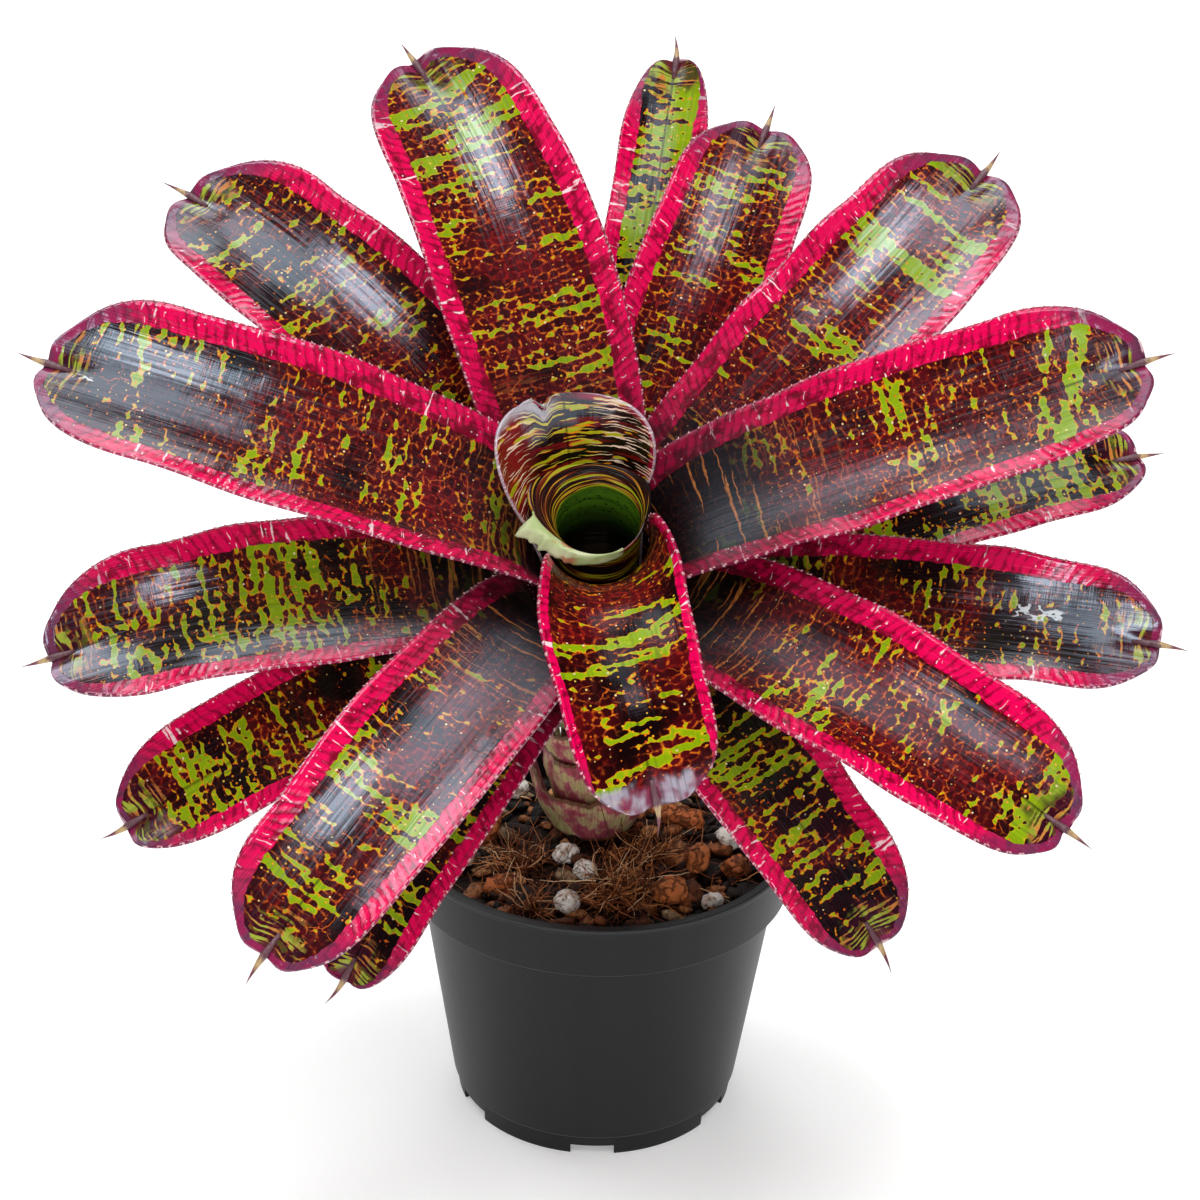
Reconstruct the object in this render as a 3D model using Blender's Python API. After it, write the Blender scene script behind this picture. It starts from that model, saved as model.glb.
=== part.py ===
"""Potted bromeliad: a leaning rosette of strap leaves on a short stem, in a round nursery pot.

Metres, +Z up, origin on the surface the pot stands on, under the middle of the plant.
The rosette is modelled upright round its own axis and leans with the empty named crown.
"""
import math
import random

import bmesh
import bpy
import numpy as np
from mathutils import Matrix, Vector, noise

# ---------------------------------------------------------------- driving dimensions
GAP = 0.0003                 # clearance between pieces that touch

POT_HEIGHT = 0.1130
RIM_RADIUS = 0.0750          # 15 cm pot
RIM_WIDTH = 0.0040           # thickness of the rim's flat top
BAND_DEPTH = 0.0206          # height of the collar under the rim
BAND_RADIUS = 0.0727         # collar's lower edge
WALL_TOP_RADIUS = 0.0680     # wall where it leaves the collar
WALL_FOOT_RADIUS = 0.0556    # wall where it meets the foot ring
WALL_THICKNESS = 0.0018
FOOT_RADIUS = 0.0536
FOOT_HEIGHT = 0.0088
FLOOR_RECESS = 0.0015        # the floor's underside clears the surface by this
FLOOR_TOP = 0.0035
DRAIN_SLOTS = 6
SLOT_WIDTH = 0.0165
SLOT_HEIGHT = 0.0040
SLOT_DEPTH = 0.0090          # from the foot's outside into the floor
POT_SIDES = 48

MIX_EDGE_HEIGHT = 0.0985     # potting mix at the wall
MIX_CROWN = 0.0045           # how far it rises towards the stem
MIX_ROUGHNESS = 0.0016
MIX_SIDES = 36

STEM_FOOT = (-0.003, 0.022, 0.0860)       # lower end, sunk in the mix
STEM_COLLAR = (-0.003, 0.019, 0.1060)     # where the stem leaves the mix
CROWN_BASE = (-0.003, -0.004, 0.1680)     # lowest leaf joint, on the rosette's axis
CROWN_LEAN = math.radians(32.0)           # the rosette leans towards -Y
PLANT_SHIFT = (0.0, 0.0448, 0.0)          # brings the middle of the plant to the origin
STEM_RADIUS = 0.0125
STEM_SIDES = 16

LEAF_THICKNESS = 0.0011
LEAF_PITCH = 0.0040          # one leaf joint above the next, along the axis
SPINE_LENGTH = 0.0100
SPINE_WIDTH = 0.0012
JOINT_ELEVATION = 45.0       # degrees: a leaf leaves the stem like this,
SHEATH_ELEVATION = 88.0      # and its sheath then stands like this
FLARE_SLOPE = 0.37           # mean cosine between those two elevations
NECK_DISTANCE = 0.0550       # sheath turns into blade here, along the midrib
NECK_BEND = 0.0250           # half the length of that turn
SHORT_LEAF_NECK = 0.62       # of the length: a short leaf's neck is no further than this
NECK_WIDTH = 0.80            # of the blade's full width
FULL_WIDTH_AT = 0.62         # of the length: the blade is at its full width
TIP_SHARE = 0.18             # of the length: the rounded end
TIP_POWER = 2.8              # 2 is an ellipse, more is blunter
BLADE_HOLLOW = 0.0600        # radius of an open blade's channel
FRONT_LEAF_HOLLOW = 0.0380
HOOD_LEAF_HOLLOW = 0.0270
TUBE_LEAF_HOLLOW = 0.0140
MIDRIB_STEPS = 120
COLUMN_ANGLE = 24.0          # degrees of sheath that one facet may span
LEAST_COLUMNS = 6

# From the innermost leaf outwards: name, direction round the axis, sheath radius, length,
# full width, elevation of the blade at its neck and at its tip, sideways sweep, hollow of the
# blade. Angles in degrees, 0 along +X and 90 away from the front. Neighbouring sheaths that
# wrap each other differ in radius by more than a leaf's thickness.
LEAVES = [
    ("leaf_01_tube", -110, 0.0140, 0.0525, 0.100, 94, 94, 0, TUBE_LEAF_HOLLOW),
    ("leaf_02_hood", 121, 0.0163, 0.089, 0.068, 76, 54, -24, HOOD_LEAF_HOLLOW),
    ("leaf_03_front", -84, 0.0178, 0.154, 0.051, 38, -50, 16, FRONT_LEAF_HOLLOW),
    ("leaf_04_left", 175, 0.0196, 0.223, 0.068, 25, 4, -11, BLADE_HOLLOW),
    ("leaf_05_right", 13, 0.0201, 0.221, 0.066, 17, 14, 2, BLADE_HOLLOW),
    ("leaf_06_back", 107, 0.0220, 0.217, 0.065, 38, 6, 16, BLADE_HOLLOW),
    ("leaf_07_front_left", -121, 0.0225, 0.213, 0.056, 14, -20, -6, BLADE_HOLLOW),
    ("leaf_08_front_right", -34, 0.0241, 0.210, 0.060, 11, -12, 0, BLADE_HOLLOW),
    ("leaf_09_back_right", 40, 0.0256, 0.225, 0.064, 28, 5, 14, BLADE_HOLLOW),
    ("leaf_10_back_left", 138, 0.0270, 0.228, 0.065, 33, -6, 5, BLADE_HOLLOW),
    ("leaf_11_left", -167, 0.0289, 0.210, 0.061, 18, -11, 4, BLADE_HOLLOW),
    ("leaf_12_right", -10, 0.0281, 0.213, 0.055, 12, 5, -2, BLADE_HOLLOW),
    ("leaf_13_front_right", -52, 0.0299, 0.179, 0.048, 5, -30, 0, BLADE_HOLLOW),
    ("leaf_14_back_right", 71, 0.0296, 0.211, 0.055, 32, 8, 0, BLADE_HOLLOW),
    ("leaf_15_front_left", -150, 0.0297, 0.200, 0.049, 9, -18, 0, BLADE_HOLLOW),
    ("leaf_16_front_left", -122, 0.0315, 0.177, 0.037, 0, -35, 0, BLADE_HOLLOW),
    ("leaf_17_right", 15, 0.0315, 0.220, 0.048, 24, -5, 0, BLADE_HOLLOW),
    ("leaf_18_back", 83, 0.0325, 0.238, 0.034, 34, 10, 0, BLADE_HOLLOW),
]
TOP_JOINT_HEIGHT = 0.072     # joint of the innermost leaf, along the axis
INNER_JOINT_RADIUS = 0.0090
JOINT_STEP = 0.0005          # the stem is this much thicker at each leaf further out
ROW_PLACES = (0.0, 0.05, 0.11, 0.18, 0.26, 0.35, 0.45, 0.56, 0.67, 0.77, 0.85, 0.91, 0.955, 0.985)

# Old leaf bases round the stem: name, lower and upper height, radius there,
# middle direction and half angle, and how much higher its left corner stands.
OLD_SHEATHS = [
    ("old_sheath_front", 0.1050, 0.1240, 0.0180, 0.0215, -98, 95, 0.0095),
    ("old_sheath_left", 0.1130, 0.1430, 0.0157, 0.0195, -145, 80, 0.0085),
    ("old_sheath_top", 0.1300, 0.1560, 0.0142, 0.0175, -75, 80, 0.0060),
]
SHEATH_THICKNESS = 0.0010
SHEATH_COLUMNS = 12
SHEATH_ROWS = 4

# Loose pieces on the mix: name, place, length, width, height, turn in degrees, boxiness
STONES = [
    ("pumice_1", -0.0521, -0.0110, 0.0125, 0.0105, 0.0100, 70, 2.4),
    ("pumice_2", -0.0124, -0.0121, 0.0095, 0.0080, 0.0075, 20, 2.2),
    ("pumice_3", -0.0050, -0.0230, 0.0095, 0.0080, 0.0070, -25, 2.2),
    ("pumice_4", -0.0113, -0.0447, 0.0095, 0.0085, 0.0085, 15, 2.3),
    ("pumice_5", 0.0498, 0.0063, 0.0105, 0.0090, 0.0085, 40, 2.6),
    ("pumice_6", 0.0422, -0.0374, 0.0090, 0.0065, 0.0055, 20, 2.3),
    ("pumice_7", -0.0330, 0.0420, 0.0100, 0.0085, 0.0075, 65, 2.3),
    ("pumice_8", 0.0240, 0.0500, 0.0090, 0.0080, 0.0070, -40, 2.4),
    ("clay_ball", 0.0263, -0.0361, 0.0140, 0.0125, 0.0100, 10, 2.1),
    ("clay_stone", 0.0371, -0.0140, 0.0140, 0.0090, 0.0110, 75, 2.2),
    ("bark_1", -0.0435, 0.0085, 0.0180, 0.0100, 0.0085, 80, 3.2),
    ("bark_2", -0.0365, -0.0300, 0.0120, 0.0075, 0.0055, 30, 3.2),
    ("bark_3", 0.0515, -0.0130, 0.0110, 0.0080, 0.0065, 60, 3.2),
    ("bark_4", 0.0315, 0.0190, 0.0160, 0.0095, 0.0070, -20, 3.4),
    ("bark_5", -0.0050, 0.0540, 0.0190, 0.0100, 0.0070, 5, 3.4),
    ("bark_6", -0.0510, 0.0270, 0.0130, 0.0080, 0.0065, 55, 3.0),
]
COIR_TUFTS = [
    ("coir_tuft_1", 0.0080, -0.0370, 0.0215, 0.0150, 0.0080, -15, 2.0),
    ("coir_tuft_2", -0.0300, -0.0160, 0.0160, 0.0110, 0.0065, 25, 2.0),
    ("coir_tuft_3", 0.0190, -0.0080, 0.0150, 0.0120, 0.0070, 10, 2.0),
    ("coir_tuft_4", -0.0260, -0.0440, 0.0120, 0.0085, 0.0055, 40, 2.0),
]
STONE_SEAT = 0.0008          # under each loose piece, over the faceted mix


# ---------------------------------------------------------------- helpers
def clear_scene():
    """Take every object of the starting file out."""
    for thing in list(bpy.data.objects):
        bpy.data.objects.remove(thing, do_unlink=True)


def make_material(name, colour, roughness, metallic=0.0):
    """A Principled material of one colour."""
    material = bpy.data.materials.new(name)
    material.use_nodes = True
    shader = material.node_tree.nodes["Principled BSDF"]
    shader.inputs["Base Color"].default_value = (*colour, 1.0)
    shader.inputs["Roughness"].default_value = roughness
    shader.inputs["Metallic"].default_value = metallic
    return material


def add_object(name, mesh, material, parent=None, smooth_angle=40.0):
    """Put a mesh in the scene as a named, smooth-shaded object."""
    mesh.materials.append(material)
    mesh.shade_smooth()
    mesh.set_sharp_from_angle(angle=math.radians(smooth_angle))
    thing = bpy.data.objects.new(name, mesh)
    bpy.context.scene.collection.objects.link(thing)
    thing.parent = parent
    return thing


def mesh_from(name, points, faces):
    """A mesh with the given vertices and faces."""
    mesh = bpy.data.meshes.new(name)
    mesh.from_pydata([tuple(point) for point in points], [], faces)
    mesh.update()
    return mesh


def smoothstep(value):
    """0 to 1 with level ends."""
    value = np.clip(value, 0.0, 1.0)
    return value * value * (3.0 - 2.0 * value)


def cut(target, cutters, name):
    """Boolean difference with hidden cutters."""
    for index, cutter in enumerate(cutters):
        cutter.hide_render = True
        cutter.display_type = "WIRE"
        modifier = target.modifiers.new(f"{name}_{index + 1}", "BOOLEAN")
        modifier.operation = "DIFFERENCE"
        modifier.solver = "EXACT"
        modifier.object = cutter


def turned(name, profile, sides, material):
    """A closed profile of (radius, height) points, turned round Z. Points on the axis make one vertex."""
    points = []
    rings = []
    for radius, height in profile:
        if radius < 1e-6:
            rings.append([len(points)])
            points.append((0.0, 0.0, height))
            continue
        start = len(points)
        rings.append([start + side for side in range(sides)])
        for side in range(sides):
            angle = 2.0 * math.pi * side / sides
            points.append((radius * math.cos(angle), radius * math.sin(angle), height))
    faces = []
    for below, above in zip(rings, rings[1:]):
        for side in range(sides):
            after = (side + 1) % sides
            corners = [below[side % len(below)], below[after % len(below)],
                       above[after % len(above)], above[side % len(above)]]
            faces.append(tuple(dict.fromkeys(corners)))
    return add_object(name, mesh_from(name, points, faces), material)


# ---------------------------------------------------------------- pot
def wall_radius(height):
    """Outer radius of the tapered wall at a height."""
    share = (height - FOOT_HEIGHT) / (POT_HEIGHT - BAND_DEPTH - FOOT_HEIGHT)
    return WALL_FOOT_RADIUS + share * (WALL_TOP_RADIUS - WALL_FOOT_RADIUS)


def inner_radius(height):
    """Inner radius of the wall at a height."""
    return wall_radius(height) - WALL_THICKNESS


def make_pot(material):
    """Tapered pot with a collar, and drain slots where its foot meets its floor."""
    band_foot = POT_HEIGHT - BAND_DEPTH
    inside_top = RIM_RADIUS - RIM_WIDTH
    foot_inside = FOOT_RADIUS - WALL_THICKNESS
    profile = [
        (0.0, FLOOR_RECESS),
        (foot_inside - 0.0004, FLOOR_RECESS),
        (foot_inside, 0.0),
        (FOOT_RADIUS, 0.0),
        (FOOT_RADIUS + 0.0004, FOOT_HEIGHT - 0.0006),
        (WALL_FOOT_RADIUS, FOOT_HEIGHT),
        (wall_radius(band_foot * 0.5), band_foot * 0.5),
        (WALL_TOP_RADIUS, band_foot),
        (BAND_RADIUS, band_foot),
        (RIM_RADIUS - 0.0003, POT_HEIGHT - 0.0010),
        (RIM_RADIUS - 0.0012, POT_HEIGHT),
        (inside_top, POT_HEIGHT),
        (inside_top - 0.0006, band_foot + 0.0020),
        (inner_radius(band_foot) - 0.0002, band_foot),
        (inner_radius(FOOT_HEIGHT), FOOT_HEIGHT),
        (foot_inside, FLOOR_TOP),
        (0.0, FLOOR_TOP),
    ]
    pot = turned("pot", profile, POT_SIDES, material)
    slots = []
    for index in range(DRAIN_SLOTS):
        angle = -math.pi / 2 + 2.0 * math.pi * index / DRAIN_SLOTS
        bpy.ops.mesh.primitive_cube_add(size=1.0)
        slot = bpy.context.active_object
        slot.name = f"drain_slot_cutter_{index + 1}"
        slot.scale = (2.0 * SLOT_DEPTH, SLOT_WIDTH, 2.0 * SLOT_HEIGHT)
        slot.rotation_euler = (0.0, 0.0, angle)
        slot.location = (FOOT_RADIUS * math.cos(angle), FOOT_RADIUS * math.sin(angle), 0.0)
        slots.append(slot)
    cut(pot, slots, "drain_slot")
    return pot


# ---------------------------------------------------------------- potting mix and what lies on it
def mix_height(x, y):
    """Top of the potting mix: a low dome with soft bumps."""
    distance = math.hypot(x, y)
    edge = inner_radius(MIX_EDGE_HEIGHT)
    bump = noise.noise(Vector((x * 60.0, y * 60.0, 3.7)))
    return MIX_EDGE_HEIGHT + MIX_CROWN * (1.0 - (distance / edge) ** 2) + MIX_ROUGHNESS * 0.5 * bump


def make_mix(material):
    """Potting mix that fills the pot, with a well for the foot of the stem."""
    top_edge = inner_radius(MIX_EDGE_HEIGHT) - 0.0012
    foot = FLOOR_TOP + GAP
    profile = [
        (0.0, foot),
        (FOOT_RADIUS - WALL_THICKNESS - 0.0008, foot),
        (inner_radius(FOOT_HEIGHT) - 0.0008, FOOT_HEIGHT),
        (inner_radius(0.0900) - 0.0008, 0.0900),
        (top_edge, MIX_EDGE_HEIGHT),
    ]
    for share in (0.88, 0.74, 0.58, 0.42, 0.22, 0.0):
        profile.append((top_edge * share, MIX_EDGE_HEIGHT))
    mix = turned("potting_mix", profile, MIX_SIDES, material)
    for vertex in mix.data.vertices:
        if vertex.co.z > MIX_EDGE_HEIGHT - 1e-5:
            vertex.co.z = mix_height(vertex.co.x, vertex.co.y)
    depth = STEM_COLLAR[2] - STEM_FOOT[2]
    bpy.ops.mesh.primitive_cylinder_add(vertices=STEM_SIDES, radius=STEM_RADIUS + 0.0025, depth=2.0 * depth)
    well = bpy.context.active_object
    well.name = "stem_well_cutter"
    well.location = (STEM_FOOT[0], STEM_FOOT[1] - 0.0015, STEM_FOOT[2] + depth - 0.0025)
    cut(mix, [well], "stem_well")
    return mix


def make_lump(name, place, size, turn, boxiness, seed, material):
    """A rough rounded lump that lies on the mix: a stone, a chip or a tuft."""
    lump = bmesh.new()
    bmesh.ops.create_icosphere(lump, subdivisions=2, radius=1.0)
    for vertex in lump.verts:
        direction = vertex.co.normalized()
        reach = sum(abs(part) ** boxiness for part in direction) ** (-1.0 / boxiness)
        rough = 1.0 + 0.14 * noise.noise(direction * 1.7 + Vector((seed * 3.1, seed * 1.3, 0.0)))
        vertex.co = direction * reach * rough
    bmesh.ops.scale(lump, vec=[extent * 0.5 for extent in size], verts=lump.verts)
    bmesh.ops.rotate(lump, matrix=Matrix.Rotation(math.radians(turn), 3, "Z"), verts=lump.verts)
    lowest = min(vertex.co.z for vertex in lump.verts)
    seat = mix_height(*place) + STONE_SEAT
    bmesh.ops.translate(lump, vec=(place[0], place[1], seat - lowest), verts=lump.verts)
    mesh = bpy.data.meshes.new(name)
    lump.to_mesh(mesh)
    lump.free()
    return add_object(name, mesh, material, smooth_angle=60.0)


def make_loose_pieces(materials):
    """Stones, bark chips and coir tufts."""
    pieces = []
    for seed, row in enumerate(STONES + COIR_TUFTS, start=1):
        name, x, y, length, width, height, turn, boxiness = row
        material = materials[name.split("_")[0]]
        pieces.append(make_lump(name, (x, y), (length, width, height), turn, boxiness, seed, material))
    return pieces


# ---------------------------------------------------------------- stem and old leaf bases
def joint_height(index):
    """Height of a leaf's joint along the rosette's axis."""
    return TOP_JOINT_HEIGHT - index * LEAF_PITCH


def joint_radius(index):
    """Radius at which a leaf leaves the stem."""
    return INNER_JOINT_RADIUS + index * JOINT_STEP


def crown_point(height):
    """Point on the rosette's axis."""
    base = Vector(CROWN_BASE)
    return base + height * Vector((0.0, -math.sin(CROWN_LEAN), math.cos(CROWN_LEAN)))


def stem_centre(height):
    """Centre of the bare stem at a world height, on a line that bends forward towards the crown."""
    share = (height - STEM_COLLAR[2]) / (CROWN_BASE[2] - STEM_COLLAR[2])
    share = max(share, 0.0)
    x = STEM_COLLAR[0] + share * (CROWN_BASE[0] - STEM_COLLAR[0])
    y = STEM_COLLAR[1] + share * share * (CROWN_BASE[1] - STEM_COLLAR[1])
    return Vector((x, y, height))


def stem_stations():
    """Centre, radius and direction of each ring of the stem, from the foot to the tip of the crown."""
    rings = [(Vector(STEM_FOOT), STEM_RADIUS * 0.90), (Vector(STEM_COLLAR), STEM_RADIUS)]
    for height in (0.120, 0.135, 0.150):
        rings.append((stem_centre(height), STEM_RADIUS))
    rings.append((crown_point(-0.004), STEM_RADIUS + 0.0008))
    last = len(LEAVES) - 1
    for index in (last, last - 4, last - 8, last - 12, 0):
        rings.append((crown_point(joint_height(index)), joint_radius(index) - 0.0012))
    rings.append((crown_point(TOP_JOINT_HEIGHT + 0.004), 0.0040))
    return rings


def make_stem(material):
    """Short stout stem, bent forward, that carries the leaves."""
    rings = stem_stations()
    points = []
    for index, (centre, radius) in enumerate(rings):
        before = rings[max(index - 1, 0)][0]
        after = rings[min(index + 1, len(rings) - 1)][0]
        along = (after - before).normalized()
        across = Vector((1.0, 0.0, 0.0))
        up = along.cross(across).normalized()
        across = up.cross(along)
        for side in range(STEM_SIDES):
            angle = 2.0 * math.pi * side / STEM_SIDES
            points.append(centre + radius * (math.cos(angle) * across + math.sin(angle) * up))
    faces = [tuple(reversed(range(STEM_SIDES)))]
    for ring in range(len(rings) - 1):
        for side in range(STEM_SIDES):
            after = (side + 1) % STEM_SIDES
            low = ring * STEM_SIDES
            high = low + STEM_SIDES
            faces.append((low + side, low + after, high + after, high + side))
    top = (len(rings) - 1) * STEM_SIDES
    faces.append(tuple(range(top, top + STEM_SIDES)))
    return add_object("stem", mesh_from("stem", points, faces), material)


def make_old_sheath(row, material):
    """A cut-back leaf base that cups the stem, with a raised corner on its left."""
    name, low, high, low_radius, high_radius, middle, half_angle, corner = row
    points = []
    for up_index in range(SHEATH_ROWS + 1):
        up = up_index / SHEATH_ROWS
        for column in range(SHEATH_COLUMNS + 1):
            across = 2.0 * column / SHEATH_COLUMNS - 1.0
            angle = math.radians(middle + half_angle * across)
            peak = max(-across - 0.35, 0.0) / 0.65
            rise = (high - low) * (0.86 + 0.14 * across * across) + corner * peak * peak
            height = low + up * rise
            radius = low_radius + (high_radius - low_radius) * up + 0.25 * corner * peak * peak * up
            centre = stem_centre(height)
            points.append(centre + radius * Vector((math.cos(angle), math.sin(angle), 0.0)))
    faces = []
    width = SHEATH_COLUMNS + 1
    for up_index in range(SHEATH_ROWS):
        for column in range(SHEATH_COLUMNS):
            corner_index = up_index * width + column
            faces.append((corner_index, corner_index + 1, corner_index + width + 1, corner_index + width))
    sheath = add_object(name, mesh_from(name, points, faces), material)
    shell = sheath.modifiers.new("thickness", "SOLIDIFY")
    shell.thickness = SHEATH_THICKNESS
    shell.offset = 1.0
    return sheath


# ---------------------------------------------------------------- leaves
def leaf_midrib(index, leaf):
    """Walk along the midrib in steps. Returns distances, points, side and normal vectors, blade share."""
    azimuth, sheath_radius, length, width, blade_up, tip_up, sweep, hollow = leaf[1:]
    distance = np.linspace(0.0, length, MIDRIB_STEPS + 1)
    flare_length = (sheath_radius - joint_radius(index)) / FLARE_SLOPE
    sheath = JOINT_ELEVATION + (SHEATH_ELEVATION - JOINT_ELEVATION) * smoothstep(distance / flare_length)
    beyond = np.clip((distance - NECK_DISTANCE) / max(length - NECK_DISTANCE, NECK_BEND), 0.0, 1.0)
    blade = blade_up + (tip_up - blade_up) * beyond ** 1.3
    share = smoothstep((distance - NECK_DISTANCE + NECK_BEND) / (2.0 * NECK_BEND))
    elevation = np.radians(sheath * (1.0 - share) + blade * share)
    heading = np.radians(azimuth + sweep * (distance / length) ** 2)
    along = np.stack([np.cos(elevation) * np.cos(heading), np.cos(elevation) * np.sin(heading),
                      np.sin(elevation)], axis=-1)
    start = np.array([joint_radius(index) * math.cos(math.radians(azimuth)),
                      joint_radius(index) * math.sin(math.radians(azimuth)), joint_height(index)])
    steps = 0.5 * (along[1:] + along[:-1]) * (length / MIDRIB_STEPS)
    points = np.vstack([start, start + np.cumsum(steps, axis=0)])
    side = np.stack([-np.sin(heading), np.cos(heading), np.zeros_like(heading)], axis=-1)
    inward = np.stack([-np.cos(heading), -np.sin(heading), np.zeros_like(heading)], axis=-1)
    tilted = smoothstep(2.0 * share)[:, None]
    normal = (1.0 - tilted) * inward + tilted * np.cross(along, side)
    normal /= np.linalg.norm(normal, axis=1)[:, None]
    return distance, points, along, side, normal, share


def leaf_half_width(leaf, distance, radius):
    """Half the leaf's width along its midrib: sheath, neck, strap blade, blunt round end."""
    length, width = leaf[3], leaf[4]
    widening = max(FULL_WIDTH_AT * length - NECK_DISTANCE, NECK_BEND)
    spread = np.clip((distance - NECK_DISTANCE) / widening, 0.0, 1.5)
    body = NECK_WIDTH + (1.0 - NECK_WIDTH) * np.sin(spread * math.pi / 2.0)
    ending = np.clip((distance / length - 1.0 + TIP_SHARE) / TIP_SHARE, 0.0, 1.0)
    half = 0.5 * width * body * np.sqrt(1.0 - ending ** TIP_POWER)
    wrap = 1.35 + 1.45 * smoothstep(distance / (0.5 * NECK_DISTANCE))
    return np.minimum(half, wrap * radius)


def make_leaf(index, leaf, parent, material):
    """One leaf: a curved grid from its joint to its spine, thickened on its outer side."""
    name, sheath_radius, hollow = leaf[0], leaf[2], leaf[8]
    distance, points, along, side, normal, share = leaf_midrib(index, leaf)
    radius = np.hypot(points[:, 0], points[:, 1])
    half = leaf_half_width(leaf, distance, radius)
    bend = (1.0 - share) / radius + share / hollow
    neck = min(NECK_DISTANCE, SHORT_LEAF_NECK * leaf[3])
    wrap = math.degrees(half[int(neck / distance[1])] / sheath_radius)
    columns = max(LEAST_COLUMNS, 2 * math.ceil(wrap / COLUMN_ANGLE))
    rows = []
    for place in ROW_PLACES:
        row = min(int(round(place * MIDRIB_STEPS)), MIDRIB_STEPS)
        line = []
        for column in range(columns + 1):
            arc = half[row] * (2.0 * column / columns - 1.0)
            across = math.sin(bend[row] * arc) / bend[row]
            lift = (1.0 - math.cos(bend[row] * arc)) / bend[row]
            line.append(points[row] + across * side[row] + lift * normal[row])
        rows.append(line)
    end = points[-1]
    for reach, spread in ((0.0, 2.0), (SPINE_LENGTH, 0.5)):
        line = []
        for column in range(columns + 1):
            across = SPINE_WIDTH * spread * (column / columns - 0.5)
            line.append(end + reach * along[-1] + across * side[-1])
        rows.append(line)
    width = columns + 1
    faces = []
    for row in range(len(rows) - 1):
        for column in range(columns):
            corner = row * width + column
            faces.append((corner, corner + width, corner + width + 1, corner + 1))
    grid = [point for line in rows for point in line]
    thing = add_object(name, mesh_from(name, grid, faces), material, parent)
    shell = thing.modifiers.new("thickness", "SOLIDIFY")
    shell.thickness = LEAF_THICKNESS
    shell.offset = -1.0
    return thing


def make_rosette(material):
    """All the leaves, on an empty that leans with the crown."""
    crown = bpy.data.objects.new("crown", None)
    bpy.context.scene.collection.objects.link(crown)
    crown.location = CROWN_BASE
    crown.rotation_euler = (CROWN_LEAN, 0.0, 0.0)
    for index, leaf in enumerate(LEAVES):
        make_leaf(index, leaf, crown, material)


def main():
    """Build the whole plant."""
    clear_scene()
    black_plastic = make_material("black_plastic", (0.030, 0.032, 0.035), 0.45)
    mix_brown = make_material("potting_mix", (0.060, 0.030, 0.016), 0.95)
    leaf_red = make_material("leaf", (0.150, 0.020, 0.035), 0.35)
    stem_brown = make_material("stem", (0.200, 0.110, 0.060), 0.60)
    sheath_pink = make_material("old_sheath", (0.300, 0.160, 0.110), 0.60)
    loose = {
        "pumice": make_material("pumice", (0.620, 0.560, 0.470), 0.90),
        "clay": make_material("fired_clay", (0.260, 0.110, 0.055), 0.85),
        "bark": make_material("bark", (0.120, 0.050, 0.025), 0.90),
        "coir": make_material("coir", (0.300, 0.140, 0.060), 0.95),
    }
    make_pot(black_plastic)
    make_mix(mix_brown)
    make_loose_pieces(loose)
    make_stem(stem_brown)
    for row in OLD_SHEATHS:
        make_old_sheath(row, sheath_pink)
    make_rosette(leaf_red)
    plant = bpy.data.objects.new("plant", None)
    for thing in bpy.data.objects:
        if thing.parent is None and thing != plant:
            thing.parent = plant
    bpy.context.scene.collection.objects.link(plant)
    plant.location = PLANT_SHIFT
    bpy.context.view_layer.update()


main()
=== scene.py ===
"""Looks of the potted bromeliad: patterned strap leaves, old leaf bases, bark mix and nursery pot.

Metres, +Z up. Places are in the plant's own coordinates, whose origin is under the middle of the
pot, and AT_POT moves them into the frame. Leaves are built round the crown's own upright axis, and
AT_CROWN leans them into place.
"""

import math
import random

import bmesh
import bpy
import numpy as np
from mathutils import Matrix, Vector, noise


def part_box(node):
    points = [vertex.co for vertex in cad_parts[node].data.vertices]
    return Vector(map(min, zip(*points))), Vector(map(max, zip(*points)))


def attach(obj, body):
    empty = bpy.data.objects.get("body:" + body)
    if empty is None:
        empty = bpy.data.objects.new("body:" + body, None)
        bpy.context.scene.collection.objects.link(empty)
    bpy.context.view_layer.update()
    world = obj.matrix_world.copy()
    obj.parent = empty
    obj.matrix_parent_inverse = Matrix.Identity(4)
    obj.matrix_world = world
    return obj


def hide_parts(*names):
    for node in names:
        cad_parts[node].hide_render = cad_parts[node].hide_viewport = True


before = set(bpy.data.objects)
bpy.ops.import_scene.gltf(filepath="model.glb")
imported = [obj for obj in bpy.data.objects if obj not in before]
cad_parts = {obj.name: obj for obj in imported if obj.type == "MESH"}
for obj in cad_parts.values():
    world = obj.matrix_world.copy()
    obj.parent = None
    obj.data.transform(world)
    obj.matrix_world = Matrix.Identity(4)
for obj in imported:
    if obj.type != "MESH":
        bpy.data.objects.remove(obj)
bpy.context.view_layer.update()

MM = 0.001
UV_UNIT = 0.1                # metres of leaf in one unit of its UV map
EDGE_UNIT = 0.01             # metres in one unit of the distance from the margin

# ---------------------------------------------------------------- the rosette
# These numbers are the solids' own. Only the front leaf's row differs a little.
CROWN_BASE = (-0.003, -0.004, 0.1680)     # lowest leaf joint, on the rosette's axis
CROWN_LEAN = math.radians(32.0)           # the rosette leans towards -Y
LEAF_PITCH = 0.0040          # one leaf joint above the next, along the axis
TOP_JOINT_HEIGHT = 0.072     # of the innermost leaf
INNER_JOINT_RADIUS = 0.0090
JOINT_STEP = 0.0005          # each leaf's joint stands this much further out
JOINT_ELEVATION = 45.0       # degrees: a leaf leaves the stem like this,
SHEATH_ELEVATION = 88.0      # and its sheath then stands like this
FLARE_SLOPE = 0.37           # mean cosine between those two elevations
NECK_DISTANCE = 0.0550       # sheath turns into blade here, along the midrib
NECK_BEND = 0.0250           # half the length of that turn
NECK_WIDTH = 0.80            # of the blade's full width
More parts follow.
